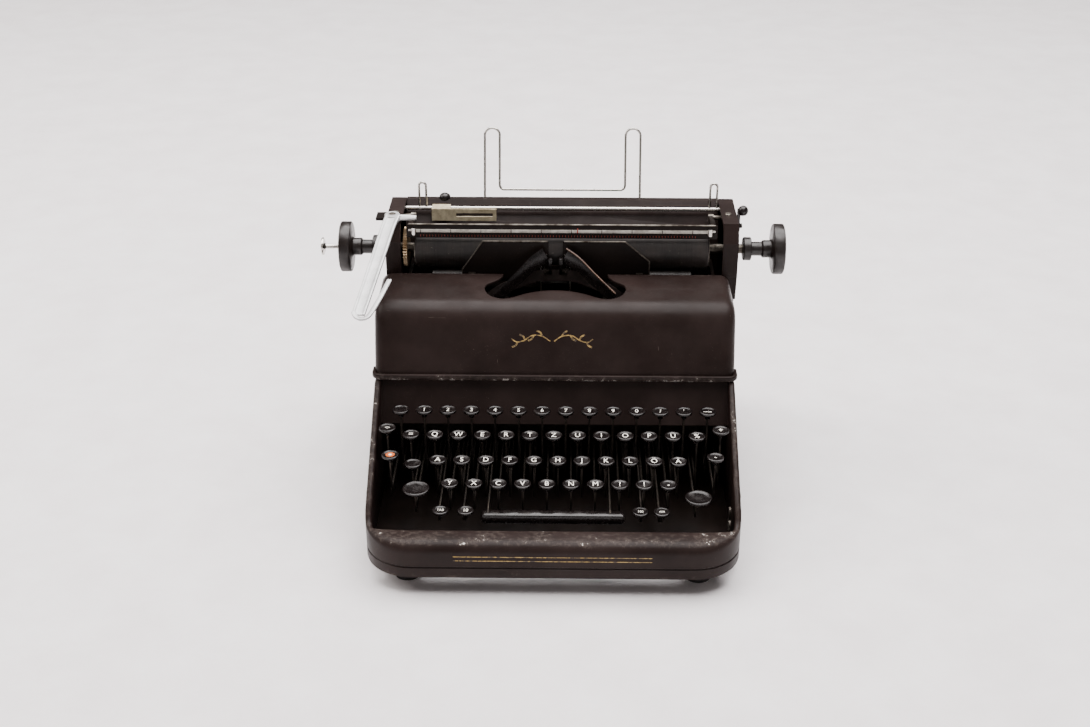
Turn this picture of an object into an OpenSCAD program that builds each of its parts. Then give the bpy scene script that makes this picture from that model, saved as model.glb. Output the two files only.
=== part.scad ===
// Desk typewriter with a sliding carriage, as an assembly of separate parts.
// Millimetres, +Z up, keyboard towards -Y, the machine's right towards +X.
// The origin lies on the table, in the middle of the four feet.
// Depths called y are measured back from the front face of the frame.

/* [Frame] */
// Width of the frame over its side walls
frame_w = 293; // [280:1:340]
// Depth of the frame from its front face to its rear face
frame_d = 322; // [316:1:350]
// Height of the underside of the frame above the table
frame_z = 15; // [12:1:20]
// Thickness of the cast side walls
wall = 5; // [4:0.5:5.5]
// Plan radius of the two front corners
front_corner_r = 38; // [20:1:42]
// Depth of the front rail
rail_d = 24; // [18:1:25]
// Height of the top of the front rail above the table
rail_z = 45; // [38:1:46]
// Height of the side walls under the hood
deck_z = 118; // [116:1:120]

/* [Feet] */
// Diameter of a rubber foot
foot_d = 24; // [16:1:28]
// Bore for the bolt in each foot
foot_bore = 5; // [3:0.5:8]
// Distance of the front feet behind the front face
foot_front = 28; // [24:1:32]
// Distance between the front and the rear feet
foot_pitch_y = 272; // [240:1:274]
// Distance between the left and the right feet
foot_pitch_x = 228; // [200:1:236]

/* [Hood] */
// Thickness of the hood sheet
hood_t = 2; // [1.5:0.5:3]
// Height of the top of the hood above the table
hood_top = 176; // [170:1:177]
// Width of the neck of the cut-out at the hood's rear edge
cut_neck_w = 89; // [80:1:100]
// Width of the cut-out across its two lobes
cut_lobe_w = 116; // [100:1:124]

/* [Keyboard] */
// Distance between neighbouring keys of a row
key_pitch = 19; // [17.5:0.25:19]
// Diameter of a round key top
key_d = 13.6; // [11:0.2:14]
// Thickness of the rim of a key top
key_rim = 2.4; // [1.6:0.2:3]
// Diameter of the two shift key tops
shift_d = 21; // [16:0.5:22]
// Thickness of a flat key lever
lever_t = 1.4; // [1:0.1:1.6]
// Width of the space bar
space_w = 111; // [90:1:120]

/* [Carriage] */
// Diameter of the platen
platen_d = 37; // [34:0.5:37]
// Length of the platen's rubber
platen_l = 250; // [200:1:256]
// Diameter of the platen shaft
shaft_d = 8; // [6:0.5:9]
// Diameter of the platen knobs
knob_d = 43; // [34:1:46]
// Thickness of a platen knob's disc
knob_t = 9.5; // [7:0.5:11]
// Distance between the outer faces of the two knobs
knob_span = 378; // [372:1:390]
// Distance of the carriage's middle to the right of the frame's middle
carriage_x = 5; // [0:1:8]
// Travel of the carriage to each side
carriage_travel = 100; // [80:1:110]

/* [Paper support] */
// Thickness of the bent wire
wire_d = 2.2; // [1.6:0.2:3]
// Distance between the wire's two legs
wire_span = 136; // [90:1:150]
// Height of the wire's loops above the table
wire_top = 273; // [250:1:280]

/* [Fits] */
// Radial clearance of a running fit
running_gap = 0.05; // [0.02:0.01:0.1]
// Clearance between parts that pass each other
part_gap = 0.5; // [0.3:0.1:1]

/* [Hidden] */
$fn = 48;
e = 0.01;
foot_mid = foot_front + foot_pitch_y / 2;
in_x = frame_w / 2 - wall;          // inner face of a side wall
hinge_y = 232;                      // common shaft of all key levers
hinge_z = 50;
hinge_d = 5;
comb_y = 150;                       // slotted comb that guides the levers
selector_y = 44;                    // pivot of the ribbon selector
selector_z = 38;
panel_y = 134;                      // top edge of the fixed key panel
lip_y = 129;                        // front lip of the hood
hood_back = 215;                    // rear edge of the hood
shoulder_y = 150;                   // where the hood turns from front to top
axis_y = 240;                       // platen axis
axis_z = 190;
end_gap = 11;                       // from the platen's face to an end casing
end_t = 13;                         // thickness of an end casing
end_in = platen_l / 2 + end_gap;    // inner face of an end casing
end_out = end_in + end_t;
web_t = 3;                          // floor web of the frame
bed_z = 146;                        // underside of the carriage bed
rail_y1 = 238;                      // the two carriage rails
rail_y2 = 292;
rail_h = bed_z - part_gap;          // top of the rails
pivot_x = -end_in - 7;              // return lever's pivot on the left casing

// Rows of character keys: depth, height and place of the first key, key count
row_y = [108, 89, 70, 51];
row_z = [104, 92, 80, 70];
row_x = [-104.5, -114, -91.5, -81];
row_n = [12, 13, 11, 10];
row_names = ["number", "upper", "home", "lower"];
solo_key = 4;                       // home-row key that has its own type bar

dark = [0.13, 0.12, 0.11];
black = [0.05, 0.05, 0.05];
steel = [0.62, 0.62, 0.60];
silver = [0.82, 0.83, 0.84];
cream = [0.90, 0.86, 0.74];
rubber = [0.09, 0.09, 0.09];
bronze = [0.45, 0.34, 0.22];

// ---------- helpers ----------
module behind() { translate([0, -foot_mid, 0]) children(); }

module on_carriage() { translate([carriage_x, -foot_mid, 0]) children(); }

// Straight bar along X, centred on x = 0
module x_bar(d, l) { rotate([0, 90, 0]) cylinder(d = d, h = l, center = true); }

// Solid with a side outline [y, z], spread along X around x = 0
module profile_x(points, w) {
    rotate([90, 0, 90]) translate([0, 0, -w / 2]) linear_extrude(w) polygon(points);
}

// Plan outline with round front corners and smaller rear corners
module frame_plan(inset, r_front, r_rear) {
    x = frame_w / 2 - inset;
    y1 = frame_d - inset;
    for (s = [-1, 1]) {
        translate([s * (x - r_front), inset + r_front]) circle(r_front);
        translate([s * (x - r_rear), y1 - r_rear]) circle(r_rear);
    }
    translate([-x + r_front, inset]) square([2 * (x - r_front), r_front]);
    translate([-x, inset + r_front]) square([2 * x, y1 - inset - r_front - r_rear]);
    translate([-x + r_rear, y1 - r_rear]) square([2 * (x - r_rear), r_rear]);
}

module foot_places() {
    for (x = [-1, 1], y = [0, 1])
        translate([x * foot_pitch_x / 2, foot_front + y * foot_pitch_y, 0]) children();
}

// Upper line of the side walls, from the front rail up to the hood
wall_line = [
    [-1, frame_z], [-1, rail_z - 8], [3, rail_z - 2], [10, rail_z], [rail_d + 2, rail_z],
    [36, rail_z + 8], [lip_y + 1, deck_z], [frame_d + 1, deck_z], [frame_d + 1, frame_z]
];

// ---------- frame ----------
module base_frame() color(dark) behind() {
    pad = foot_d + 4;
    difference() {
        union() {
            difference() {
                intersection() {
                    linear_extrude(deck_z) frame_plan(0, front_corner_r, 12);
                    profile_x(wall_line, frame_w + 2);
                }
                translate([0, 0, -e]) linear_extrude(deck_z + 1) intersection() {
                    frame_plan(wall, front_corner_r - wall, 8);
                    translate([-frame_w, rail_d]) square([2 * frame_w, frame_d]);
                }
            }
            // pads over the feet
            intersection() {
                translate([0, 0, frame_z]) linear_extrude(6) frame_plan(1, front_corner_r - 1, 11);
                foot_places() translate([0, 0, frame_z]) linear_extrude(6)
                    square([2 * (in_x - foot_pitch_x / 2) + 2, pad], center = true);
            }
            // floor web under the key levers, from the front pads to the crossbar
            translate([-in_x - e, rail_d + 12, frame_z + 5])
                cube([2 * in_x + 2 * e, hinge_y - rail_d + e, web_t]);
            // crossbar that carries the lever shaft's bearings
            translate([-in_x - e, hinge_y + 12, frame_z + 4]) cube([2 * in_x + 2 * e, 8, 16]);
            for (s = [-1, 1])
                translate([s * (in_x - 1.4) - 1.5, hinge_y - 6, frame_z + 4])
                    cube([3, 26, hinge_z - frame_z + 4]);
            // pivot of the ribbon selector
            translate([in_x - 5, selector_y, selector_z]) rotate([0, 90, 0]) cylinder(d = 4, h = 5.5);
            // two posts that carry the carriage rails
            for (s = [-1, 1])
                translate([s > 0 ? in_x - 12 : -in_x - e, rail_y1 - 8, deck_z - 14])
                    cube([12 + e, rail_y2 - rail_y1 + 16, 14]);
        }
        foot_places() translate([0, 0, frame_z - 1]) cylinder(d = foot_bore, h = 10);
        // bearings for the lever shaft in both walls
        translate([0, hinge_y, hinge_z]) x_bar(hinge_d, frame_w - wall);
    }
}

module rubber_feet() color(rubber) behind() foot_places() difference() {
    union() {
        cylinder(d = foot_d - 4, h = 6);
        translate([0, 0, 6]) cylinder(d = foot_d, h = frame_z - 6);
    }
    translate([0, 0, -1]) cylinder(d = foot_bore, h = frame_z + 2);
}

// Slotted screws in the outer faces of the walls
module frame_screws() color(steel) behind()
    for (s = [-1, 1], y = [62, 190])
        translate([s * frame_w / 2, y, 52]) rotate([0, s * 90, 0]) difference() {
            cylinder(d = 7, h = 1.6);
            translate([-4, -0.5, 0.9]) cube([8, 1, 2]);
        }

module key_panel() color(dark) behind()
    profile_x([[118, 85], [119.8, 84.4], [panel_y + 1.6, deck_z - 2], [panel_y, deck_z - 1]],
        2 * in_x);

module rear_panel() color(dark) behind()
    translate([-in_x + 14, frame_d - wall - 2, frame_z + 12])
        difference() {
            cube([2 * in_x - 28, 2, deck_z - frame_z - 24]);
            for (k = [-4:4])
                translate([in_x - 14 + k * 24 - 8, -1, 24]) cube([16, 4, 3]);
        }

// Shaft on which all key levers turn
module lever_shaft() color(steel) behind()
    translate([0, hinge_y, hinge_z]) x_bar(hinge_d, frame_w - wall);

// Comb between the walls, with one slot for each lever
lever_x = [for (r = [0:3], k = [0:row_n[r] - 1]) row_x[r] + key_pitch * k];
module key_comb() color(steel) behind() difference() {
    translate([-in_x, comb_y, 26]) cube([2 * in_x, 3, 44]);
    for (x = concat(lever_x, solo_x))
        translate([x - lever_t / 2 - 0.5, comb_y - 1, 33]) cube([lever_t + 1, 5, 24]);
}

// ---------- keyboard ----------
// Keys with a lever of their own: key x, y, z, and the lever's offset from the key
margin_at = [-133, 92, 96, 0];
release_at = [-129, 70, 84, 0];
blank_at = [-123.5, 108, 104, 0];
lock_at = [-111, 67, 78, 0];
shift_left_at = [-107, 46, 68, -0.5];
tab_at = [-87.6, 36, 54.5, -0.9];
ten_at = [-68, 36, 54.5, -1.5];
hundred_at = [68, 36, 54.5, 0.75];
thousand_at = [84.5, 36, 54.5, -2];
shift_right_at = [113, 42, 64, -2];
backspace_at = [123.5, 108, 104, 0];
clear_at = [127.6, 70, 84, 0];
set_at = [133, 92, 96, 0];
space_arms = [-50.5, 44.5];
solo_x = concat(space_arms, [for (k = [margin_at, release_at, blank_at, lock_at, shift_left_at,
    tab_at, ten_at, hundred_at, thousand_at, shift_right_at, backspace_at, clear_at, set_at])
    k[0] + k[3]]);

lever_h = 7;                        // height of a lever bar
skirt_h = 4.5;                      // funnel under a key top

// Key top with a raised rim and a funnel that narrows to its stem
module key_top(d) {
    difference() {
        cylinder(d = d, h = key_rim);
        translate([0, 0, key_rim - 0.5]) cylinder(d = d - 1.8, h = 1);
    }
    translate([0, 0, -skirt_h]) cylinder(d1 = 4, d2 = d * 0.66, h = skirt_h);
}

// Flat lever: bearing on the shaft, bar, and an upright stem that ends at height z
module key_lever(at) {
    x = at[0] + at[3];
    stem_z = at[2] - key_rim - skirt_h;
    translate([x - lever_t / 2, 0, 0]) difference() {
        union() {
            translate([0, hinge_y, hinge_z]) rotate([0, 90, 0]) cylinder(d = 11, h = lever_t);
            translate([0, at[1] - 2, hinge_z - lever_h / 2]) cube([lever_t, hinge_y - at[1] - 2, lever_h]);
            translate([0, at[1] - 2, hinge_z - lever_h / 2])
                cube([lever_t, 4, max(stem_z - hinge_z + lever_h / 2, lever_h)]);
        }
        translate([-1, hinge_y, hinge_z])
            rotate([0, 90, 0]) cylinder(d = hinge_d + 2 * running_gap, h = lever_t + 2);
    }
    // foot of the funnel, which joins the stem where the key sits beside its lever
    translate([min(x, at[0]) - lever_t / 2, at[1] - 2, stem_z - 2])
        cube([abs(at[3]) + lever_t, 4, 2]);
}

module key_top_at(at, d) translate([at[0], at[1], at[2] - key_rim]) key_top(d);

function row_key(r, k) = [row_x[r] + key_pitch * k, row_y[r], row_z[r], 0];
function row_keys(r) = [for (k = [0:row_n[r] - 1]) if (r != 2 || k != solo_key) row_key(r, k)];

module row_caps(r) color(black) behind() for (at = row_keys(r)) key_top_at(at, key_d);
module row_levers(r) color(steel) behind() for (at = row_keys(r)) key_lever(at);

module solo(at, d) color(black) behind() {
    key_top_at(at, d);
    key_lever(at);
}

module caps_number_row() row_caps(0);
module caps_upper_row() row_caps(1);
module caps_home_row() row_caps(2);
module caps_lower_row() row_caps(3);
module levers_number_row() row_levers(0);
module levers_upper_row() row_levers(1);
module levers_home_row() row_levers(2);
module levers_lower_row() row_levers(3);
module g_key() solo(row_key(2, solo_key), key_d);
module margin_key() solo(margin_at, key_d);
module margin_release_key() solo(release_at, key_d);
module blank_key() solo(blank_at, key_d);
module shift_lock_key() solo(lock_at, key_d);
module shift_key_left() solo(shift_left_at, shift_d);
module shift_key_right() solo(shift_right_at, shift_d);
module tab_key() solo(tab_at, key_d - 1);
module tab_key_10() solo(ten_at, key_d - 1);
module tab_key_100() solo(hundred_at, key_d - 1);
module tab_key_1000() solo(thousand_at, key_d - 1);
module backspace_key() solo(backspace_at, key_d);
module tab_clear_key() solo(clear_at, key_d);
module tab_set_key() solo(set_at, key_d);

module space_bar() color(black) behind() {
    translate([-space_w / 2, 31, 44]) cube([space_w, 9, 9]);
    for (x = space_arms) {
        key_lever([x, 36, 48 + key_rim + skirt_h, 0]);
    }
}

// Small lever inside the right wall that picks the ribbon's colour
module ribbon_selector() color(steel) behind() translate([in_x - 4, selector_y, selector_z]) {
    rotate([0, 90, 0]) difference() {
        cylinder(d = 10, h = 1.5);
        translate([0, 0, -1]) cylinder(d = 4 + 2 * running_gap, h = 4);
    }
    translate([0, -2, 4.6]) cube([1.5, 4, 10]);
}

// ---------- type basket ----------
bar_n = 44;                         // type bars
bar_step = 2.2;                     // degrees between neighbouring type bars
bar_l = 60;                         // from a bar's pivot to its type face
bar_y = 212;                        // depth of the pivots
bar_rest = 15;                      // slope of a resting bar, degrees
print_z = axis_z;                   // height of the printing point
solo_bar = 18;                      // bar that the jointed key drives

module around_print(k)
    translate([0, 0, print_z]) rotate([0, (k - (bar_n - 1) / 2) * bar_step, 0]) children();

pin_d = 1.6;                        // pivot of a type bar

// One type bar lying in its slot: an eye, a bar and the type slug at its free end
module type_bar_shape() translate([0, bar_y, -bar_l]) rotate([-bar_rest, 0, 0]) {
    difference() {
        union() {
            translate([-0.4, -bar_l + 4, -2]) cube([0.8, bar_l - 4, 4]);
            x_bar(5, 0.8);
        }
        x_bar(pin_d + 2 * running_gap, 2);
    }
    translate([-0.6, -bar_l + 1, -2.5]) cube([1.2, 5, 8]);
}

module type_bars() color(steel) behind()
    for (k = [0:bar_n - 1]) if (k != solo_bar) around_print(k) type_bar_shape();

module g_type_bar() color(steel) behind() around_print(solo_bar) type_bar_shape();

// Slotted segment that holds the type bars, on a beam between the walls
module type_segment() color(steel) behind() {
    span = bar_n * bar_step + 8;
    difference() {
        translate([0, bar_y + 5, print_z]) rotate([90, 0, 0]) rotate([0, 0, -90 - span / 2])
            rotate_extrude(angle = span, $fn = 96) translate([bar_l - 6, 0]) square([16, 10]);
        for (k = [0:bar_n - 1]) around_print(k)
            translate([-0.65, bar_y - 6, -bar_l - 5]) cube([1.3, 12, 12]);
    }
    for (k = [0:bar_n - 1]) around_print(k) translate([0, bar_y, -bar_l]) x_bar(pin_d, 2);
    translate([-in_x, bar_y - 5, 94]) cube([2 * in_x, 10, 10]);
    translate([-18, bar_y - 5, 103]) cube([36, 10, print_z - bar_l - 109]);
}

// ---------- printing point ----------
plate_y = 219.4;
module type_guide() color(steel) behind() for (s = [-1, 1]) {
    translate([s > 0 ? 2.8 : -5.8, 214, 176]) cube([3, plate_y - 214, 14]);
    translate([s > 0 ? 2.8 : -10.8, 214, 176]) cube([8, plate_y - 214, 4]);
}

// Wide plate that holds the paper against the platen, with a window for the type
card_holder_w = 159;
module card_holder() color(dark) behind() {
    half = card_holder_w / 2;
    difference() {
        translate([0, plate_y + 1, 0]) rotate([90, 0, 0]) linear_extrude(1)
            polygon([[-half, 170], [half, 170], [half, 186], [half - 21, 204], [-half + 18, 204],
                [-half, 178]]);
        translate([-6, plate_y - 1, print_z - 8]) cube([12, 3, 22]);
    }
    for (s = [-1, 1]) {
        translate([s * 71 - 3, bar_y + 5, 94]) cube([6, plate_y - bar_y - 5, 82]);
        // line scale beside the plate
        translate([s > 0 ? half : -half - 34, plate_y, 172]) cube([34, 1, 4]);
    }
}

// Carrier that lifts the ribbon in front of the type
module ribbon_vibrator() color(steel) behind() {
    for (s = [-1, 1]) {
        translate([s > 0 ? 11.6 : -13, 216.6, 150]) cube([1.4, 2, 46]);
        translate([s > 0 ? 11.6 : -13, 218, 150]) cube([1.4, 2, 3]);
    }
    translate([-13, 219, 150]) cube([26, 2, 3]);
}

// ---------- ribbon ----------
spool_x = 102;
spool_y = 178;
cup_z = 122;
module ribbon_cups() color(dark) behind() for (s = [-1, 1]) {
    translate([s * spool_x, spool_y, cup_z]) difference() {
        cylinder(d = 54, h = 16);
        translate([0, 0, 1.5]) cylinder(d = 51, h = 16);
        translate([-6, 20, 6]) cube([12, 10, 12]);
    }
    translate([s * spool_x, spool_y, cup_z]) cylinder(d = 5, h = 16);
    translate([s > 0 ? spool_x : -in_x - 2, spool_y - 8, deck_z]) cube([in_x + 2 - spool_x, 16, cup_z - deck_z]);
}

module spool(s) color(steel) behind() translate([s * spool_x, spool_y, cup_z + 2]) difference() {
    union() {
        cylinder(d = 44, h = 0.8);
        cylinder(d = s > 0 ? 38 : 22, h = 12);
        translate([0, 0, 12]) cylinder(d = 44, h = 0.8);
    }
    translate([0, 0, -1]) cylinder(d = 5 + 2 * running_gap, h = 16);
}
module ribbon_spool_left() spool(-1);
module ribbon_spool_right() spool(1);

// ---------- carriage drive ----------
drum_x = -95;
drum_d = 34;
bell_x = 105;
module carriage_rails() color(steel) behind() {
    for (y = [rail_y1, rail_y2])
        translate([-in_x + 0.5, y - 4, deck_z]) cube([2 * in_x - 1, 8, rail_h - deck_z]);
    for (x = [drum_x, bell_x]) {
        translate([x - 15, rail_y1 + 4, deck_z + 1]) cube([30, rail_y2 - rail_y1 - 8, 2.5]);
        translate([x, 265, deck_z + 3]) cylinder(d = 5, h = 19);
    }
}

module mainspring_drum() color(steel) behind() translate([drum_x, 265, deck_z + 5])
    difference() {
        union() {
            cylinder(d = drum_d, h = 14);
            cylinder(d = drum_d + 6, h = 1.5);
            translate([0, 0, 12.5]) cylinder(d = drum_d + 6, h = 1.5);
        }
        translate([0, 0, -1]) cylinder(d = 5 + 2 * running_gap, h = 17);
    }

module bell() color(silver) behind() translate([bell_x, 265, deck_z + 5]) difference() {
    intersection() {
        sphere(d = 40);
        cylinder(d = 41, h = 21);
    }
    sphere(d = 37);
    translate([0, 0, 15.5]) cylinder(d = 5, h = 8);
}

// ---------- hood ----------
// Side outline of the hood, with the rear and the lower edge moved out by grow
function hood_side(grow) = let (z0 = deck_z + part_gap) [
    [hood_back + grow, z0 - grow], [hood_back + grow, hood_top], [shoulder_y + 8, hood_top - 1],
    [shoulder_y + 2, hood_top - 4], [shoulder_y - 3, hood_top - 11], [lip_y + 4, z0 + 8],
    [lip_y + 3, z0 - grow]
];

module hood() color(dark) behind() {
    half = frame_w / 2 + 0.5;
    difference() {
        profile_x(hood_side(0), 2 * half);
        rotate([90, 0, 90]) translate([0, 0, -half + hood_t]) linear_extrude(2 * (half - hood_t))
            offset(delta = -hood_t) polygon(hood_side(20));
        translate([0, 0, hood_top - 20]) linear_extrude(24) {
            translate([-cut_neck_w / 2, shoulder_y + 19]) square([cut_neck_w, 70]);
            for (s = [-1, 1])
                translate([s * (cut_lobe_w / 2 - 13), shoulder_y + 29]) circle(13);
        }
    }
    // raised lip along the front edge and round its corners
    translate([0, lip_y, deck_z + part_gap]) difference() {
        translate([-half - 2, 0, 0]) cube([2 * half + 4, 13, 5]);
        translate([-half + 1, 4.2, -1]) cube([2 * half - 2, 13, 7]);
    }
}

// ---------- carriage ----------
roller_d = 12;
roller_dy = 13;
roller_dz = sqrt(pow(platen_d / 2 + roller_d / 2 + 0.3, 2) - pow(roller_dy, 2));
cheek_x = platen_l / 2 + 4;
cheek_top = axis_z - platen_d / 2 + 0.3;

module carriage_bed() color(dark) on_carriage() {
    translate([-end_out + 1, 228, bed_z]) cube([2 * end_out - 2, 71, 3]);
    for (s = [-1, 1]) difference() {
        translate([s * cheek_x - 1.5, axis_y - 18, bed_z + 3])
            cube([3, 38, cheek_top - bed_z - 3]);
        for (t = [-1, 1])
            translate([s * cheek_x, axis_y + t * roller_dy, axis_z - roller_dz])
                x_bar(4 + 2 * running_gap, 10);
    }
}

end_side = [
    [226, bed_z + 3], [221, 172], [221, 202], [229, 217], [288, 217], [298, 208], [300, bed_z + 3]
];

module carriage_ends() color(dark) on_carriage() for (s = [-1, 1]) difference() {
    union() {
        translate([s * (end_in + end_t / 2), 0, 0]) profile_x(end_side, end_t);
        if (s < 0) translate([pivot_x, 232, 217]) cylinder(d = 6, h = 6);
        translate([s * (end_out + 2.5), 250, 207]) x_bar(4, 5);
    }
    translate([s * (end_in + end_t / 2), axis_y, axis_z])
        x_bar(shaft_d + 2 * running_gap, end_t + 2);
    // the casing is open towards the platen
    translate([s * (end_in + (end_t - 3) / 2 - 1), 0, 0]) rotate([90, 0, 90])
        translate([0, 0, -(end_t - 1) / 2]) linear_extrude(end_t - 1)
            offset(delta = -3) polygon(end_side);
    translate([s * (end_in + 4), 266, 208]) x_bar(4 + 2 * running_gap, 24);
}

module platen() color(black) on_carriage() translate([0, axis_y, axis_z]) difference() {
    union() {
        x_bar(platen_d, platen_l);
        x_bar(shaft_d, knob_span);
    }
    translate([-knob_span / 2 + 19, 0, 0]) x_bar(3.8 + 2 * running_gap, 40);
}

// Knob with a collar and a hub that narrows towards the casing
module platen_knobs() color(black) on_carriage() for (s = [-1, 1])
    translate([s * knob_span / 2, axis_y, axis_z]) rotate([0, -s * 90, 0]) difference() {
        union() {
            cylinder(d = knob_d, h = knob_t);
            translate([0, 0, knob_t]) cylinder(d = 15, h = 9);
            translate([0, 0, knob_t + 9]) cylinder(d = 12, h = 9);
            translate([0, 0, knob_t + 18]) cylinder(d = 20, h = 7);
        }
        translate([0, 0, -1]) cylinder(d = shaft_d, h = knob_t + 30);
        translate([0, 0, -1]) cylinder(d = knob_d - 16, h = 2.5);
    }

module platen_release_pin() color(silver) on_carriage()
    translate([-knob_span / 2 - 17, axis_y, axis_z]) rotate([0, 90, 0]) {
        cylinder(d = 15.5, h = 2.5);
        translate([0, 0, 2.4]) cylinder(d = 3.8, h = 46);
    }

// Fine-toothed wheel that feeds the paper line by line
module line_ratchet() color(bronze) on_carriage()
    translate([-platen_l / 2 - 9.5, axis_y, axis_z]) rotate([0, 90, 0]) linear_extrude(3.2)
        difference() {
            polygon([for (k = [0:89]) let (a = k * 4, r = k % 2 == 0 ? 17 : 15.6)
                r * [cos(a), sin(a)]]);
            circle(d = shaft_d);
        }

module feed_roller(t) color(rubber) on_carriage()
    translate([0, axis_y + t * roller_dy, axis_z - roller_dz]) {
        x_bar(4, 2 * cheek_x + 3);
        for (x = [-88, 0, 88]) translate([x, 0, 0]) x_bar(roller_d, 44);
    }
module feed_roller_front() feed_roller(-1);
module feed_roller_rear() feed_roller(1);

// Rear casing, whose front slope guides the paper
table_side = [
    [262, bed_z + 3], [262, 181], [268, 198], [286, 216], [291, 216.5], [297, 211],
    [300, 200], [300, bed_z + 3]
];
table_inner = concat([[262, bed_z - 20]], [for (k = [1:6]) table_side[k]], [[300, bed_z - 20]]);
wire_foot = [290, 209];
wire_lean = 18;

module paper_table() color(dark) on_carriage() difference() {
    profile_x(table_side, 2 * end_in);
    rotate([90, 0, 90]) translate([0, 0, -end_in - 1]) linear_extrude(2 * end_in + 2)
        offset(delta = -2) polygon(table_inner);
    for (s = [-1, 1]) translate([s * wire_span / 2, wire_foot[0], wire_foot[1]])
        rotate([-wire_lean, 0, 0]) cylinder(d = wire_d, h = 20);
}

// Rail with the scale that holds the paper down, on two swinging arms
module paper_bail() color(dark) on_carriage() {
    arm_x = platen_l / 2 + 1.3;
    translate([-arm_x - 4.5, 223, 205]) cube([2 * arm_x + 9, 3.5, 12]);
    for (s = [-1, 1]) {
        translate([s > 0 ? arm_x : -arm_x - 4.5, 223, 205]) cube([4.5, 45, 6]);
        translate([s * (end_in + 1.5), 266, 208]) x_bar(4, 2 * (end_t - 3));
    }
}

// Silver rod in front of the casing, with an upright loop near each end
module paper_rod() color(silver) on_carriage() {
    translate([0, 275, 212]) x_bar(3.5, 2 * end_out - 6);
    for (x = [-121, 131]) translate([x, 275, 213.5]) {
        for (t = [-1, 1]) translate([t * 3, 0, 0]) cylinder(d = 2, h = 19);
        translate([0, 0, 19]) rotate([90, 0, 0])
            rotate_extrude(angle = 180) translate([3, 0]) circle(d = 2);
    }
}

// One bent wire with two loops and a crossbar
module paper_support() color(silver) on_carriage()
    translate([0, wire_foot[0], wire_foot[1]]) rotate([-wire_lean, 0, 0]) {
        loop_r = 6.5;
        tall = (wire_top - wire_foot[1]) / cos(wire_lean) - loop_r;
        bar_z = 14;
        for (s = [-1, 1]) translate([s * (wire_span / 2 - loop_r), 0, 0]) {
            translate([s * loop_r, 0, 0]) cylinder(d = wire_d, h = tall);
            translate([-s * loop_r, 0, bar_z + 4]) cylinder(d = wire_d, h = tall - bar_z - 4);
            translate([0, 0, tall]) rotate([90, 0, 0])
                rotate_extrude(angle = 180) translate([loop_r, 0]) circle(d = wire_d);
            translate([-s * (loop_r + 4), 0, bar_z + 4]) rotate([90, 0, 0])
                rotate_extrude(angle = 90, start = s > 0 ? 270 : 180)
                    translate([4, 0]) circle(d = wire_d);
        }
        translate([0, 0, bar_z]) x_bar(wire_d, wire_span - 4 * loop_r - 8);
    }

// Paper edge guide that slides along the silver rod
module paper_side_guide() color(cream) on_carriage() {
    difference() {
        translate([-113, 269, 208.5]) cube([16, 9, 6]);
        translate([-105, 275, 212]) x_bar(3.5 + 2 * running_gap, 20);
    }
    difference() {
        translate([-113, 267.6, 203]) cube([56, 1.4, 11]);
        translate([-92, 266, 207]) cube([32, 4, 3]);
    }
}

// Lever that turns the ratchet and pulls the carriage back
module return_lever() color(silver) on_carriage() translate([pivot_x, 232, 217.3]) {
    difference() {
        cylinder(d = 13, h = 6);
        translate([0, 0, -1]) cylinder(d = 6 + 2 * running_gap, h = 9);
    }
    translate([0, -5, 3.4]) rotate([17, 0, 0]) linear_extrude(2.4) {
        polygon([[-6, 0], [6, 0], [0, -40], [-9, -122], [-12, -127], [-22, -119], [-9, -12]]);
        polygon([[-13, -127], [-9.5, -125], [-3, -88], [-5, -87], [-12, -119]]);
    }
}

module side_lever(s, up) translate([s * (end_out + 1.6), 250, 207]) {
    difference() {
        x_bar(10, 2.4);
        x_bar(4 + 2 * running_gap, 4);
    }
    translate([-1.2, -3, 4]) cube([2.4, 5, up]);
}
module carriage_release_lever() color(dark) on_carriage() {
    side_lever(-1, 6);
    translate([-end_out - 9, 238, 214.5]) cube([8.2, 14, 2.4]);
}
module paper_release_lever() color(black) on_carriage() {
    side_lever(1, 11);
    translate([end_out + 5, 249, 221]) sphere(d = 9);
}

// ---------- output ----------
base_frame();
rubber_feet();
frame_screws();
key_panel();
rear_panel();
lever_shaft();
key_comb();
caps_number_row();
caps_upper_row();
caps_home_row();
caps_lower_row();
levers_number_row();
levers_upper_row();
levers_home_row();
levers_lower_row();
g_key();
margin_key();
margin_release_key();
blank_key();
shift_lock_key();
shift_key_left();
shift_key_right();
tab_key();
tab_key_10();
tab_key_100();
tab_key_1000();
backspace_key();
tab_clear_key();
tab_set_key();
space_bar();
ribbon_selector();
type_bars();
g_type_bar();
type_segment();
type_guide();
card_holder();
ribbon_vibrator();
ribbon_cups();
ribbon_spool_left();
ribbon_spool_right();
carriage_rails();
mainspring_drum();
bell();
hood();
carriage_bed();
carriage_ends();
platen();
platen_knobs();
platen_release_pin();
line_ratchet();
feed_roller_front();
feed_roller_rear();
paper_table();
paper_bail();
paper_rod();
paper_support();
paper_side_guide();
return_lever();
carriage_release_lever();
paper_release_lever();
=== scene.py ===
"""Desk typewriter: the visual model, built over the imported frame.

Lengths are in metres in the frame's own axes: +X to the machine's right, +Y from the keyboard to
the rear, +Z up. Pieces take their places from the frame's boxes.
"""

import logging
import math
from dataclasses import dataclass, field
from enum import Enum

import bmesh
import bpy
from mathutils import Matrix, Vector


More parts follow.
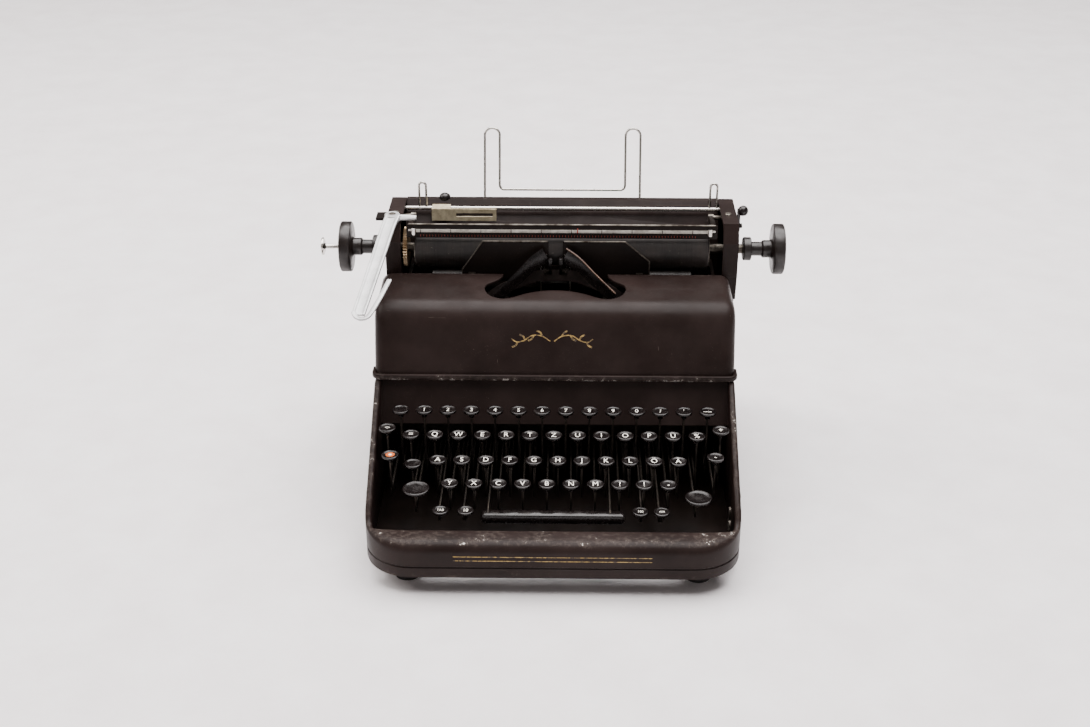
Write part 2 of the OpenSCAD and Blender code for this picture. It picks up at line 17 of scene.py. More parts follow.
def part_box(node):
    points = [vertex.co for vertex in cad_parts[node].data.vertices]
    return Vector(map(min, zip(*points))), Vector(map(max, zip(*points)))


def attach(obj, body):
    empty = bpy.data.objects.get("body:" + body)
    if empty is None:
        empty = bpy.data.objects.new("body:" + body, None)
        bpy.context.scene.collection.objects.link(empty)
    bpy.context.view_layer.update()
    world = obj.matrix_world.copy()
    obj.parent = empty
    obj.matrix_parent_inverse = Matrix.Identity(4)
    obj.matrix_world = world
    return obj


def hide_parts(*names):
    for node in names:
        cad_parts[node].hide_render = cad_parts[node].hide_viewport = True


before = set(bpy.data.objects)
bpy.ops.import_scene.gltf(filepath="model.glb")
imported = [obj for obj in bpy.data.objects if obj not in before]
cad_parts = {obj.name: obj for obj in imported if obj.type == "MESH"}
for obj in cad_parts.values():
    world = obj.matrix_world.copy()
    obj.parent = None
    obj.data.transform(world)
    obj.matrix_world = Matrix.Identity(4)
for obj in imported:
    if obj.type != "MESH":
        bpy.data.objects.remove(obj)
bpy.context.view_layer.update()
LOG = logging.getLogger("typewriter")
MM = 0.001
Point = tuple[float, float, float]


# ---------------------------------------------------------------- small helpers
def linear(hex_colour: str) -> tuple[float, float, float, float]:
    """Turns an sRGB hex value into linear RGBA.

    Args:
        hex_colour: a colour such as "#2c2825".

    Returns:
        Red, green, blue and alpha, linear.
    """
    values = [int(hex_colour[i:i + 2], 16) / 255 for i in (1, 3, 5)]
    light = [v / 12.92 if v <= 0.04045 else ((v + 0.055) / 1.055) ** 2.4 for v in values]
    return (light[0], light[1], light[2], 1.0)


def add_node(tree: bpy.types.NodeTree, kind: str, settings: dict | None = None,
             **links: object) -> bpy.types.Node:
    """Adds one node with its settings, and sets or links its inputs.

    Args:
        tree: the tree that gets the node.
        kind: the node's type name.
        settings: attributes to set, such as {"operation": "MULTIPLY"}.
        links: input name, or i0, i1 for an input by number, to a value or an output socket.

    Returns:
        The new node.
    """
    node = tree.nodes.new(kind)
    for key, value in (settings or {}).items():
        setattr(node, key, value)
    for key, value in links.items():
        by_number = key[0] == "i" and key[1:].isdigit()
        socket = node.inputs[int(key[1:]) if by_number else key.replace("_", " ")]
        if isinstance(value, bpy.types.NodeSocket):
            tree.links.new(value, socket)
        else:
            socket.default_value = value
    return node


def mesh_object(name: str, verts: list[Point], faces: list[tuple[int, ...]],
                smooth: bool = True) -> bpy.types.Object:
    """Makes a mesh object from points and faces, with its normals pointing outwards.

    Args:
        name: the piece's name.
        verts: the points, in metres.
        faces: index tuples.
        smooth: shade smooth, with sharp edges above 35 degrees.

    Returns:
        The new object, linked to the scene.
    """
    mesh = bpy.data.meshes.new(name)
    mesh.from_pydata([tuple(v) for v in verts], [], faces)
    tidy_mesh(mesh, smooth)
    return link_object(name, mesh)


def link_object(name: str, mesh: bpy.types.Mesh) -> bpy.types.Object:
    """Links a mesh into the scene as a new object at the origin."""
    obj = bpy.data.objects.new(name, mesh)
    bpy.context.scene.collection.objects.link(obj)
    return obj


def tidy_mesh(mesh: bpy.types.Mesh, smooth: bool = True) -> None:
    """Merges doubles, turns faces outwards and marks smooth and sharp shading.

    Args:
        mesh: the mesh to tidy.
        smooth: shade smooth, with sharp edges above 35 degrees.
    """
    work = bmesh.new()
    work.from_mesh(mesh)
    bmesh.ops.remove_doubles(work, verts=work.verts, dist=1e-6)
    bmesh.ops.recalc_face_normals(work, faces=work.faces)
    for face in work.faces:
        face.smooth = smooth
    for edge in work.edges:
        sharp = len(edge.link_faces) == 2 and edge.calc_face_angle(0) > math.radians(35)
        edge.smooth = not sharp
    work.to_mesh(mesh)
    work.free()


def baked(obj: bpy.types.Object) -> bpy.types.Object:
    """Turns the evaluated object into a plain mesh and drops its modifiers."""
    graph = bpy.context.evaluated_depsgraph_get()
    graph.update()
    mesh = bpy.data.meshes.new_from_object(obj.evaluated_get(graph))
    obj.modifiers.clear()
    obj.data = mesh
    return obj


def joined(name: str, parts: list[bpy.types.Object]) -> bpy.types.Object:
    """Joins plain mesh objects into one piece that keeps their materials.

    Args:
        name: the new piece's name.
        parts: objects at the origin, without modifiers; they are removed.

    Returns:
        The joined object.
    """
    work = bmesh.new()
    materials: list[bpy.types.Material] = []
    for part in parts:
        slots = list(part.data.materials) or [None]
        for material in slots:
            if material not in materials:
                materials.append(material)
        first = len(work.faces)
        work.from_mesh(part.data)
        work.faces.ensure_lookup_table()
        for face in work.faces[first:]:
            face.material_index = materials.index(slots[min(face.material_index, len(slots) - 1)])
    mesh = bpy.data.meshes.new(name)
    work.to_mesh(mesh)
    work.free()
    for material in materials:
        mesh.materials.append(material)
    for part in parts:
        bpy.data.objects.remove(part)
    return link_object(name, mesh)


def lathe(name: str, outline: list[tuple[float, float]], centre: Point, axis: str = "Z",
          steps: int = 48) -> bpy.types.Object:
    """Turns an outline of (radius, height) round an axis through centre.

    Args:
        name: the piece's name.
        outline: radius and height pairs in metres, from one end to the other.
        centre: where height 0 lies.
        axis: "X", "Y" or "Z".
        steps: number of segments round the axis.

    Returns:
        The turned object.
    """
    verts, faces = [], []
    for radius, height in outline:
        for k in range(steps):
            a = 2 * math.pi * k / steps
            u, v = radius * math.cos(a), radius * math.sin(a)
            local = {"X": (height, u, v), "Y": (v, height, u), "Z": (u, v, height)}[axis]
            verts.append(tuple(c + d for c, d in zip(centre, local)))
    for ring in range(len(outline) - 1):
        for k in range(steps):
            n = (k + 1) % steps
            faces.append((ring * steps + k, ring * steps + n,
                          (ring + 1) * steps + n, (ring + 1) * steps + k))
    faces.append(tuple(range(steps)))
    faces.append(tuple((len(outline) - 1) * steps + k for k in range(steps)))
    return mesh_object(name, verts, faces)


def soft_box(name: str, low: Point, high: Point, radius: float = 0.4 * MM) -> bpy.types.Object:
    """A box between two corners with its edges rounded.

    Args:
        name: the piece's name.
        low: lowest corner.
        high: highest corner.
        radius: edge radius.

    Returns:
        The box, with the rounding applied.
    """
    corners = [(x, y, z) for x in (low[0], high[0]) for y in (low[1], high[1])
               for z in (low[2], high[2])]
    faces = [(0, 1, 3, 2), (4, 6, 7, 5), (0, 4, 5, 1), (2, 3, 7, 6), (0, 2, 6, 4), (1, 5, 7, 3)]
    box = mesh_object(name, corners, faces, smooth=False)
    return bevelled(box, radius)


def bevelled(obj: bpy.types.Object, radius: float, segments: int = 2,
             angle: float = 30) -> bpy.types.Object:
    """Rounds an object's edges and leaves a plain mesh.

    Args:
        obj: the object.
        radius: width of the rounding.
        segments: faces across the rounding.
        angle: only edges sharper than this, in degrees.

    Returns:
        The same object.
    """
    bevel = obj.modifiers.new("bevel", "BEVEL")
    bevel.width = radius
    bevel.segments = segments
    bevel.limit_method = "ANGLE"
    bevel.angle_limit = math.radians(angle)
    baked(obj)
    for face in obj.data.polygons:
        face.use_smooth = True
    tidy_mesh(obj.data)
    return obj


def swept(name: str, path: list[Point], section: list[tuple[float, float]], side: Vector,
          closed: bool = False, scale: list[float] | None = None) -> bpy.types.Object:
    """Sweeps a closed section along a path.

    Args:
        name: the piece's name.
        path: the points that the section follows.
        section: offsets (along side, along the path's other normal), in metres.
        side: the direction that the section's first offset keeps to.
        closed: whether the path closes on itself.
        scale: the section's size at each point.

    Returns:
        The swept object.
    """
    verts, faces = [], []
    count, ring = len(path), len(section)
    points = [Vector(p) for p in path]
    for i, point in enumerate(points):
        before = points[(i - 1) % count] if closed or i else point
        after = points[(i + 1) % count] if closed or i < count - 1 else point
        along = (after - before).normalized()
        across = (side - along * side.dot(along)).normalized()
        up = along.cross(across)
        size = scale[i] if scale else 1.0
        verts += [tuple(point + across * u * size + up * v * size) for u, v in section]
    for i in range(count if closed else count - 1):
        j = (i + 1) % count
        for k in range(ring):
            n = (k + 1) % ring
            faces.append((i * ring + k, i * ring + n, j * ring + n, j * ring + k))
    if not closed:
        faces.append(tuple(range(ring)))
        faces.append(tuple((count - 1) * ring + k for k in range(ring)))
    return mesh_object(name, verts, faces)


def circle_section(radius: float, steps: int = 12) -> list[tuple[float, float]]:
    """Points of a round section."""
    return [(radius * math.cos(2 * math.pi * k / steps), radius * math.sin(2 * math.pi * k / steps))
            for k in range(steps)]


def smooth_path(points: list[Point], steps: int = 6) -> list[Point]:
    """Runs a Catmull-Rom curve through points.

    Args:
        points: the points to pass through.
        steps: new points in each stretch.

    Returns:
        The curve's points.
    """
    rows = [Vector(p) for p in points]
    rows = [2 * rows[0] - rows[1]] + rows + [2 * rows[-1] - rows[-2]]
    out: list[Point] = []
    for i in range(1, len(rows) - 2):
        a, b, c, d = rows[i - 1:i + 3]
        for k in range(steps):
            t = k / steps
            out.append(tuple(0.5 * (2 * b + (c - a) * t + (2 * a - 5 * b + 4 * c - d) * t * t
                                    + (3 * b - a - 3 * c + d) * t ** 3)))
    out.append(tuple(rows[-2]))
    return out


def dress(obj: bpy.types.Object, material: bpy.types.Material) -> bpy.types.Object:
    """Gives an object one material in place of any it had."""
    obj.data.materials.clear()
    obj.data.materials.append(material)
    return obj


def settle(obj: bpy.types.Object, body: str, slot: str, *stands_for: str) -> bpy.types.Object:
    """Puts a finished piece on its body and hides the CAD nodes that it stands for.

    Args:
        obj: the finished piece.
        body: the CAD body that it moves with.
        slot: the record's material slot; not used.
        stands_for: the CAD nodes that it replaces.

    Returns:
        The same object.
    """
    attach(obj, body)
    if stands_for:
        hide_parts(*stands_for)
    LOG.info("%s on %s: %d faces", obj.name, body, len(obj.data.polygons))
    return obj


# ---------------------------------------------------------------- finishes
class Shader:
    """A material under construction, with its principled shader and object coordinates."""

    def __init__(self, name: str, rough: float, metal: float = 0.0, ior: float = 1.5,
                 coat: float = 0.0) -> None:
        """Starts a material.

        Args:
            name: the material's name.
            rough: roughness where no pattern changes it.
            metal: 1 for bare metal.
            ior: refractive index of a non-metal.
            coat: weight of a clear coat.
        """
        self.material = bpy.data.materials.new(name)
        self.material.use_nodes = True
        self.tree = self.material.node_tree
        self.body = self.tree.nodes["Principled BSDF"]
        self.body.inputs["Roughness"].default_value = rough
        self.body.inputs["Metallic"].default_value = metal
        if not metal:
            self.body.inputs["IOR"].default_value = ior
        self.body.inputs["Coat Weight"].default_value = coat
        self.place = add_node(self.tree, "ShaderNodeTexCoord").outputs["Object"]

    def stretched(self, x: float, y: float, z: float) -> bpy.types.NodeSocket:
        """Object coordinates multiplied by a factor along each axis."""
        node = add_node(self.tree, "ShaderNodeMapping", None, Vector=self.place,
                        Scale=(x, y, z))
        return node.outputs[0]

    def noise(self, size_mm: float, detail: float = 4, rough: float = 0.55,
              place: bpy.types.NodeSocket | None = None) -> bpy.types.NodeSocket:
        """Noise whose features are about size_mm across.

        Args:
            size_mm: feature size.
            detail: octaves.
            rough: strength of the finer octaves.
            place: coordinates, or the plain object coordinates.

        Returns:
            The noise factor's socket.
        """
        node = add_node(self.tree, "ShaderNodeTexNoise", None, Vector=place or self.place,
                        Scale=1 / (size_mm * MM), Detail=detail, Roughness=rough)
        return node.outputs[0]

    def ramp(self, factor: bpy.types.NodeSocket, low: float, high: float, start: float = 0.0,
             end: float = 1.0) -> bpy.types.NodeSocket:
        """Maps low..high of a factor to start..end, clamped."""
        node = add_node(self.tree, "ShaderNodeMapRange", None, Value=factor, From_Min=low,
                        From_Max=high, To_Min=start, To_Max=end)
        return node.outputs[0]

    def maths(self, kind: str, a: object, b: object = 0.0) -> bpy.types.NodeSocket:
        """One sum, product or comparison of two factors."""
        return add_node(self.tree, "ShaderNodeMath", {"operation": kind}, i0=a, i1=b).outputs[0]

    def blend(self, factor: object, a: object, b: object) -> bpy.types.NodeSocket:
        """Mixes colour a into colour b by a factor."""
        node = add_node(self.tree, "ShaderNodeMix", {"data_type": "RGBA"}, i0=factor, i6=a, i7=b)
        return node.outputs[2]

    def attribute(self, name: str) -> bpy.types.NodeSocket:
        """A factor stored on the piece's points; 0 where the piece has none."""
        return add_node(self.tree, "ShaderNodeAttribute", {"attribute_name": name}).outputs["Fac"]

    def paint(self, colour: object = None, rough: bpy.types.NodeSocket | None = None,
              metal: bpy.types.NodeSocket | None = None,
              height: bpy.types.NodeSocket | None = None, depth_mm: float = 0.05) -> None:
        """Feeds the shader.

        Args:
            colour: a colour or its socket.
            rough: roughness pattern.
            metal: metallic pattern.
            height: bump pattern from 0 to 1.
            depth_mm: the bump's depth.
        """
        for name, value in (("Base Color", colour), ("Roughness", rough), ("Metallic", metal)):
            if isinstance(value, bpy.types.NodeSocket):
                self.tree.links.new(value, self.body.inputs[name])
            elif value is not None:
                self.body.inputs[name].default_value = value
        if height is not None:
            bump = add_node(self.tree, "ShaderNodeBump", None, Strength=1.0,
                            Distance=depth_mm * MM, Height=height)
            self.tree.links.new(bump.outputs[0], self.body.inputs["Normal"])


@dataclass(frozen=True)
class WornEnamel:
    """Stoved enamel on cast iron and sheet: brown-black and satin, dusty, scratched and chipped
    to bare grey metal along the edges that hands and boxes rub."""

    name: str = "stoved_enamel"
    colour: str = "#1e1614"
    faded: str = "#29201e"
    dust: str = "#6b615a"
    bare: str = "#b4afa9"
    chips: float = 1.0

    def make(self) -> bpy.types.Material:
        """Builds the enamel."""
        # below the 1.5 of real enamel: it dims the sky's reflection on the hood
        s = Shader(self.name, rough=0.38, ior=1.2)
        cloudy = s.ramp(s.noise(55, 5, 0.6), 0.38, 0.66)
        colour = s.blend(cloudy, linear(self.colour), linear(self.faded))
        # fine dust grains and greasy smears that dry lighter
        grains = s.ramp(s.noise(0.9, 2, 0.5), 0.69, 0.74)
        dusty = s.ramp(s.noise(38, 3, 0.5), 0.42, 0.7)
        colour = s.blend(s.maths("MULTIPLY", s.maths("MULTIPLY", grains, dusty), 0.5), colour,
                         linear(self.dust))
        # hairline scratches, mostly crosswise
        hair = s.ramp(s.noise(6, 3, 0.6, s.stretched(0.16, 3.5, 3.5)), 0.715, 0.735)
        hair_b = s.ramp(s.noise(5, 3, 0.6, s.stretched(3.0, 0.5, 0.25)), 0.735, 0.755)
        scratched = s.maths("MULTIPLY", s.maths("MAXIMUM", hair, hair_b),
                            s.ramp(s.noise(25, 2), 0.5, 0.62))
        colour = s.blend(s.maths("MULTIPLY", scratched, 0.55), colour, linear(self.dust))
        # chips to bare metal where the piece says that it is rubbed
        wear = s.attribute("wear")
        grit = s.noise(4.5, 6, 0.72)
        patch = s.noise(22, 3, 0.6)
        edge = s.maths("ADD", s.maths("MULTIPLY", grit, 0.62), s.maths("MULTIPLY", patch, 0.38))
        need = s.ramp(wear, 0.0, 1.0, 0.75, 0.39)
        chip = s.ramp(s.maths("SUBTRACT", edge, need), 0.0, 0.018)
        chip = s.maths("MULTIPLY", chip, self.chips)
        rubbed = s.ramp(s.maths("SUBTRACT", edge, need), -0.12, 0.03)
        rubbed = s.maths("MULTIPLY", rubbed, s.ramp(wear, 0.05, 0.3))
        colour = s.blend(s.maths("MULTIPLY", rubbed, 0.35), colour, linear(self.dust))
        colour = s.blend(chip, colour, linear(self.bare))
        peel = s.noise(1.6, 2, 0.4)
        height = s.maths("SUBTRACT", s.maths("MULTIPLY", peel, 0.16), chip)
        rough = s.ramp(s.noise(20, 4, 0.6), 0.3, 0.75, 0.3, 0.5)
        rough = s.maths("ADD", rough, s.maths("MULTIPLY", rubbed, 0.12))
        s.paint(colour, rough, s.maths("MULTIPLY", chip, 0.75), height, 0.12)
        return s.material


@dataclass(frozen=True)
class Phenolic:
    """Moulded phenolic resin: near black and glossy, with dulled spots from fingers."""

    name: str = "phenolic_resin"
    colour: str = "#0e0a0a"
    rough: float = 0.18

    def make(self) -> bpy.types.Material:
        """Builds the resin."""
        s = Shader(self.name, rough=self.rough, ior=1.45, coat=0.0)
        cloudy = s.ramp(s.noise(7, 4, 0.6), 0.4, 0.7)
        colour = s.blend(cloudy, linear(self.colour), linear("#150f0e"))
        dust = s.ramp(s.noise(0.7, 2, 0.5), 0.68, 0.74)
        colour = s.blend(s.maths("MULTIPLY", dust, 0.3), colour, linear("#8a827a"))
        rough = s.ramp(cloudy, 0, 1, self.rough, self.rough + 0.2)
        s.paint(colour, rough, height=s.noise(1.2, 3), depth_mm=0.02)
        return s.material


@dataclass(frozen=True)
class OiledSteel:
    """Mill-finished spring steel with old oil: grey to brown, drawn along one axis."""

    name: str = "oiled_steel"
    bright: str = "#7a756d"
    stained: str = "#2c241d"
    rough: float = 0.36

    def make(self) -> bpy.types.Material:
        """Builds the steel."""
        s = Shader(self.name, rough=self.rough, metal=1.0)
        stain = s.ramp(s.noise(9, 5, 0.65), 0.4, 0.64)
        colour = s.blend(stain, linear(self.bright), linear(self.stained))
        grain = s.noise(1.4, 3, 0.6, s.stretched(6, 0.3, 6))
        rough = s.ramp(s.maths("ADD", s.maths("MULTIPLY", stain, 0.6),
                               s.maths("MULTIPLY", grain, 0.4)), 0, 1,
                       self.rough - 0.08, self.rough + 0.3)
        s.paint(colour, rough, s.ramp(stain, 0, 1, 1.0, 0.7), grain, 0.02)
        return s.material


@dataclass(frozen=True)
class NickelPlate:
    """Nickel plating on drawn wire and turned parts: bright, with fine haze and pin spots."""

    name: str = "nickel_plate"
    colour: str = "#c9c6c0"
    rough: float = 0.16

    def make(self) -> bpy.types.Material:
        """Builds the plating."""
        s = Shader(self.name, rough=self.rough, metal=1.0)
        haze = s.ramp(s.noise(12, 4, 0.6), 0.4, 0.7)
        spots = s.ramp(s.noise(1.6, 3, 0.6), 0.66, 0.72)
        colour = s.blend(s.maths("MULTIPLY", spots, 0.7), linear(self.colour), linear("#5b4c3c"))
        rough = s.maths("ADD", s.ramp(haze, 0, 1, self.rough, self.rough + 0.2),
                        s.maths("MULTIPLY", spots, 0.2))
        s.paint(colour, rough, height=s.noise(0.8, 2), depth_mm=0.01)
        return s.material


@dataclass(frozen=True)
class SilverPaint:
    """Aluminium paint on a pressed lever: pale silver, satin, with dark nicks."""

    name: str = "aluminium_paint"

    def make(self) -> bpy.types.Material:
        """Builds the paint."""
        s = Shader(self.name, rough=0.42, metal=0.0, ior=1.5, coat=0.1)
        tone = s.blend(s.ramp(s.noise(14, 4), 0.35, 0.7), linear("#cfd0d0"), linear("#b4b5b5"))
        flakes = s.ramp(s.noise(0.5, 1), 0.45, 0.65)
        tone = s.blend(s.maths("MULTIPLY", flakes, 0.2), tone, linear("#f0f0f0"))
        nicks = s.ramp(s.noise(3, 5, 0.7), 0.68, 0.7)
        tone = s.blend(s.maths("MULTIPLY", nicks, 0.75), tone, linear("#5c5854"))
        s.paint(tone, s.ramp(flakes, 0, 1, 0.34, 0.5), s.ramp(nicks, 0, 1, 0.35, 0.8),
                s.noise(0.7, 2), 0.02)
        return s.material


@dataclass(frozen=True)
class HardRubber:
    """Hard black platen rubber: dull, ground round, with paper lint."""

    name: str = "platen_rubber"
    colour: str = "#15110f"
    rough: float = 0.5

    def make(self) -> bpy.types.Material:
        """Builds the rubber."""
        s = Shader(self.name, rough=self.rough, ior=1.52)
        tone = s.blend(s.ramp(s.noise(16, 4), 0.35, 0.7), linear(self.colour), linear("#2a2320"))
        lint = s.ramp(s.noise(1.0, 2, 0.5, s.stretched(0.4, 1, 1)), 0.7, 0.76)
        tone = s.blend(s.maths("MULTIPLY", lint, 0.4), tone, linear("#8f877c"))
        rings = s.noise(1.2, 2, 0.5, s.stretched(1, 0.05, 0.05))
        s.paint(tone, s.ramp(rings, 0.3, 0.7, self.rough - 0.1, self.rough + 0.14), None, rings,
                0.03)
        return s.material


@dataclass(frozen=True)
class Tinted:
    """A satin coating of one hue with slight mottling, such as celluloid, lacquer or ink."""

    name: str
    colour: str
    second: str
    rough: float = 0.4
    metal: float = 0.0
    mottle_mm: float = 5.0

    def make(self) -> bpy.types.Material:
        """Builds the coating."""
        s = Shader(self.name, rough=self.rough, metal=self.metal)
        tone = s.blend(s.ramp(s.noise(self.mottle_mm, 5, 0.65), 0.38, 0.66),
                       linear(self.colour), linear(self.second))
        s.paint(tone, s.ramp(s.noise(self.mottle_mm / 2, 3), 0.3, 0.7, self.rough - 0.08,
                             self.rough + 0.12), height=s.noise(0.9, 2), depth_mm=0.015)
        return s.material


@dataclass(frozen=True)
class WornGilt:
    """Gold transfer on enamel, rubbed through in places so that the dark paint shows."""

    name: str = "worn_gilt"

    def make(self) -> bpy.types.Material:
        """Builds the transfer."""
        s = Shader(self.name, rough=0.42)
        rubbed = s.ramp(s.noise(3.2, 5, 0.75), 0.44, 0.58)
        tone = s.blend(rubbed, linear("#b09458"), linear("#3a2f25"))
        s.paint(tone, s.ramp(rubbed, 0, 1, 0.38, 0.5), s.ramp(rubbed, 0, 1, 0.6, 0.0),
                s.noise(0.8, 2), 0.01)
        return s.material


@dataclass(frozen=True)
class InkedCotton:
    """Woven cotton ribbon soaked with ink: matt, with its weave."""

    name: str = "inked_cotton"
    colour: str = "#1c1412"

    def make(self) -> bpy.types.Material:
        """Builds the ribbon; its threads are drawn twice as coarse as real ones."""
        s = Shader(self.name, rough=0.85, ior=1.45)
        warp = add_node(s.tree, "ShaderNodeTexWave", {"bands_direction": "X"}, Vector=s.place,
                        Scale=0.314 / (0.6 * MM), Distortion=0.6).outputs["Fac"]
        weft = add_node(s.tree, "ShaderNodeTexWave", {"bands_direction": "Z"}, Vector=s.place,
                        Scale=0.314 / (0.6 * MM), Distortion=0.6).outputs["Fac"]
        weave = s.maths("MULTIPLY", warp, weft)
        tone = s.blend(s.ramp(s.noise(6, 3), 0.35, 0.7), linear(self.colour), linear("#2e2320"))
        tone = s.blend(s.maths("MULTIPLY", weave, 0.3), tone, linear("#4a3a33"))
        s.paint(tone, None, None, weave, 0.08)
        return s.material


class Finish(Enum):
    """The finishes of this typewriter."""

    ENAMEL = WornEnamel()
    # partly painted shade: a darker copy of the enamel, its dust darker too; on the ribs and plate
    # inside the frame, the ribbon cups and the carriage bed it paints their shade, and on the bail, card
    # holder plate and release lever it is their dark paint
    DARK_AND_SHADE_ENAMEL = WornEnamel("dark_and_shade_enamel", "#120d0b", "#1c1512", "#4a423c", chips=0.0)
    RESIN = Phenolic()
    KNOB_RESIN = Phenolic("turned_resin", "#1a1412", 0.28)
    STEEL = OiledSteel()
    DARK_STEEL = OiledSteel("blued_steel", "#39342f", "#17120f", 0.42)
    NICKEL = NickelPlate()
    SILVER_PAINT = SilverPaint()
    RUBBER = HardRubber()
    FOOT_RUBBER = HardRubber("foot_rubber", "#1d1a18", 0.75)
    CELLULOID = Tinted("cream_celluloid", "#cfc4a6", "#a4967a", 0.32)
    SCALE_WHITE = Tinted("scale_white", "#c9c5bb", "#98928a", 0.35)
    BRONZE = Tinted("bronze", "#6e5534", "#2f2419", 0.38, 0.9, 3.0)
    LEGEND = Tinted("legend_enamel", "#fbf8ef", "#e8e4d8", 0.5, 0.0, 2.0)
    RED = Tinted("red_enamel", "#a2382a", "#7c2a20", 0.4, 0.0, 2.0)
    ORANGE = Tinted("orange_enamel", "#d1692b", "#a94f1e", 0.35, 0.0, 2.0)
    # reddish-brown that paints the highlight along the right ribbon guard's top edge
    BROWN = Tinted("painted_highlight_brown", "#5a3a24", "#3a2517", 0.45)
    GILT = WornGilt()
    COTTON = InkedCotton()

    @property
    def material(self) -> bpy.types.Material:
        """The finish's material, made once."""
        found = bpy.data.materials.get(self.value.name)
        return found or self.value.make()


# ---------------------------------------------------------------- frame and hood
@dataclass
class CastFrame:
    """Cast frame, open below: a deep rounded front rail and thin side walls that rise to the
    hood, with its feet, screws and panels."""

    corner: float = 38 * MM
    rear_corner: float = 12 * MM
    wall: float = 5 * MM
    rail: float = 24 * MM
    rail_top: float = 45 * MM
    body: str = "chassis"

    def __post_init__(self) -> None:
        """Reads the frame's box."""
        self.low, self.high = (Vector(c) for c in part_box("base_frame"))
        self.hood_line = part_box("hood")[0][1] - self.low.y

    def top(self, depth: float) -> float:
        """Height of the wall's top edge at a depth behind the front face."""
        if depth < self.rail + 2 * MM:
            return self.rail_top
        knee = 36 * MM
        if depth < knee:
            t = (depth - self.rail - 2 * MM) / (knee - self.rail - 2 * MM)
            return self.rail_top + 8 * MM * t * t
        rise = (self.high.z - self.rail_top - 8 * MM) / (self.hood_line + MM - knee)
        return min(self.high.z, self.rail_top + 8 * MM + rise * (depth - knee))

    def plan(self) -> list[tuple[Vector, Vector]]:
        """Points of the outer plan with their outward normals, once round."""
        half, depth = self.high.x, self.high.y - self.low.y
        out: list[tuple[Vector, Vector]] = []

        def arc(cx: float, cy: float, r: float, a0: float, steps: int) -> None:
            """Adds a quarter turn of points from angle a0."""
            for k in range(steps + 1):
                a = math.radians(a0 + 90 * k / steps)
                n = Vector((math.cos(a), math.sin(a)))
                out.append((Vector((cx, cy)) + n * r, n))

        def side(x: float, y0: float, y1: float, steps: int) -> None:
            """Adds points along a side wall, without its ends."""
            for k in range(1, steps):
                out.append((Vector((x, y0 + (y1 - y0) * k / steps)),
                            Vector((math.copysign(1, x), 0))))

        r, q = self.corner, self.rear_corner
        arc(-half + r, r, r, 180, 14)
        arc(half - r, r, r, 270, 14)
        side(half, r, depth - q, 44)
        arc(half - q, depth - q, q, 0, 6)
        arc(-half + q, depth - q, q, 90, 6)
        side(-half, depth - q, r, 44)
        return out

    def shell(self) -> bpy.types.Object:
        """The cast wall as one closed ring with soft edges."""
        verts: list[Point] = []
        base, y0 = self.low.z, self.low.y
        sections = []
        for point, normal in self.plan():
            inner = point - normal * self.wall
            inner.y = max(inner.y, self.rail)
            across = inner - point
            width = across.length
            across = across / width
            front = min(1.0, max(0.0, (width - self.wall) / (self.rail - self.wall)))
            ro = (2.3 + 6.5 * front) * MM
            ri = (2.3 + 2.2 * front) * MM
            top = self.top(point.y)
            band = base + 9.6 * MM
            rows = [(0.9 * MM, base), (0.2 * MM, base + 0.5 * MM), (0.0, base + 1.4 * MM),
                    (0.0, band - 0.9 * MM), (0.9 * MM, band - 0.3 * MM),
                    (0.9 * MM, band + 0.4 * MM), (0.0, band + 1.1 * MM)]
            rows += [(ro - ro * math.cos(a), top - ro + ro * math.sin(a))
                     for a in (math.pi / 2 * k / 7 for k in range(8))]
            rows += [(width - ri + ri * math.sin(a), top - ri + ri * math.cos(a))
                     for a in (math.pi / 2 * k / 5 for k in range(6))]
            rows += [(width, base + 2 * MM), (width - 0.8 * MM, base)]
            sections.append(len(rows))
            verts += [(point.x + across.x * d, y0 + point.y + across.y * d, z) for d, z in rows]
        ring, count = sections[0], len(sections)
        faces = []
        for i in range(count):
            j = (i + 1) % count
            for k in range(ring):
                n = (k + 1) % ring
                faces.append((i * ring + k, j * ring + k, j * ring + n, i * ring + n))
        return mesh_object("cast_wall", verts, faces)

    def ribs(self) -> list[bpy.types.Object]:
        """Crossbar, bearings, rail posts and foot pads inside the wall, and a dark plate across the
        bottom that stands in for the shade under the keys.
        """
        x = self.high.x - self.wall + 0.5 * MM
        shaft_low, shaft_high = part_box("lever_shaft")
        rails_low, rails_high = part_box("carriage_rails")
        feet_low, feet_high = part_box("rubber_feet")
        z, y = self.low.z, (shaft_low[1] + shaft_high[1]) / 2
        parts = [soft_box("crossbar", (-x, y + 12 * MM, z + 4 * MM), (x, y + 20 * MM, z + 20 * MM)),
                 # painted shade: a dark plate across the open bottom, in place of the shade under the
                 # keys
                 soft_box("web", (-x, self.low.y + 36 * MM, z + 5 * MM),
                          (x, y + 12.5 * MM, z + 8 * MM))]
        for s in (-1, 1):
            ends = sorted((s * x, s * (x - 3 * MM)))
            parts.append(soft_box("bearing", (ends[0], y - 6 * MM, z + 4 * MM),
                                  (ends[1], y + 20 * MM, shaft_high[2] + 2 * MM)))
            ends = sorted((s * x, s * (x - 12 * MM)))
            parts.append(soft_box("post", (ends[0], rails_low[1] - 4 * MM, rails_low[2] - 14 * MM),
                                  (ends[1], rails_high[1] + 4 * MM, rails_low[2])))
            foot = feet_high[0] if s > 0 else -feet_low[0]
            for foot_y in (feet_low[1] - 2 * MM, feet_high[1] - 26 * MM):
                reach = foot + 6 * MM if foot_y < 0 else x
                ends = sorted((s * reach, s * (foot - 26 * MM)))
                parts.append(soft_box("pad", (ends[0], foot_y, z + 0.2 * MM),
                                      (ends[1], foot_y + 28 * MM, z + 6 * MM)))
        return parts

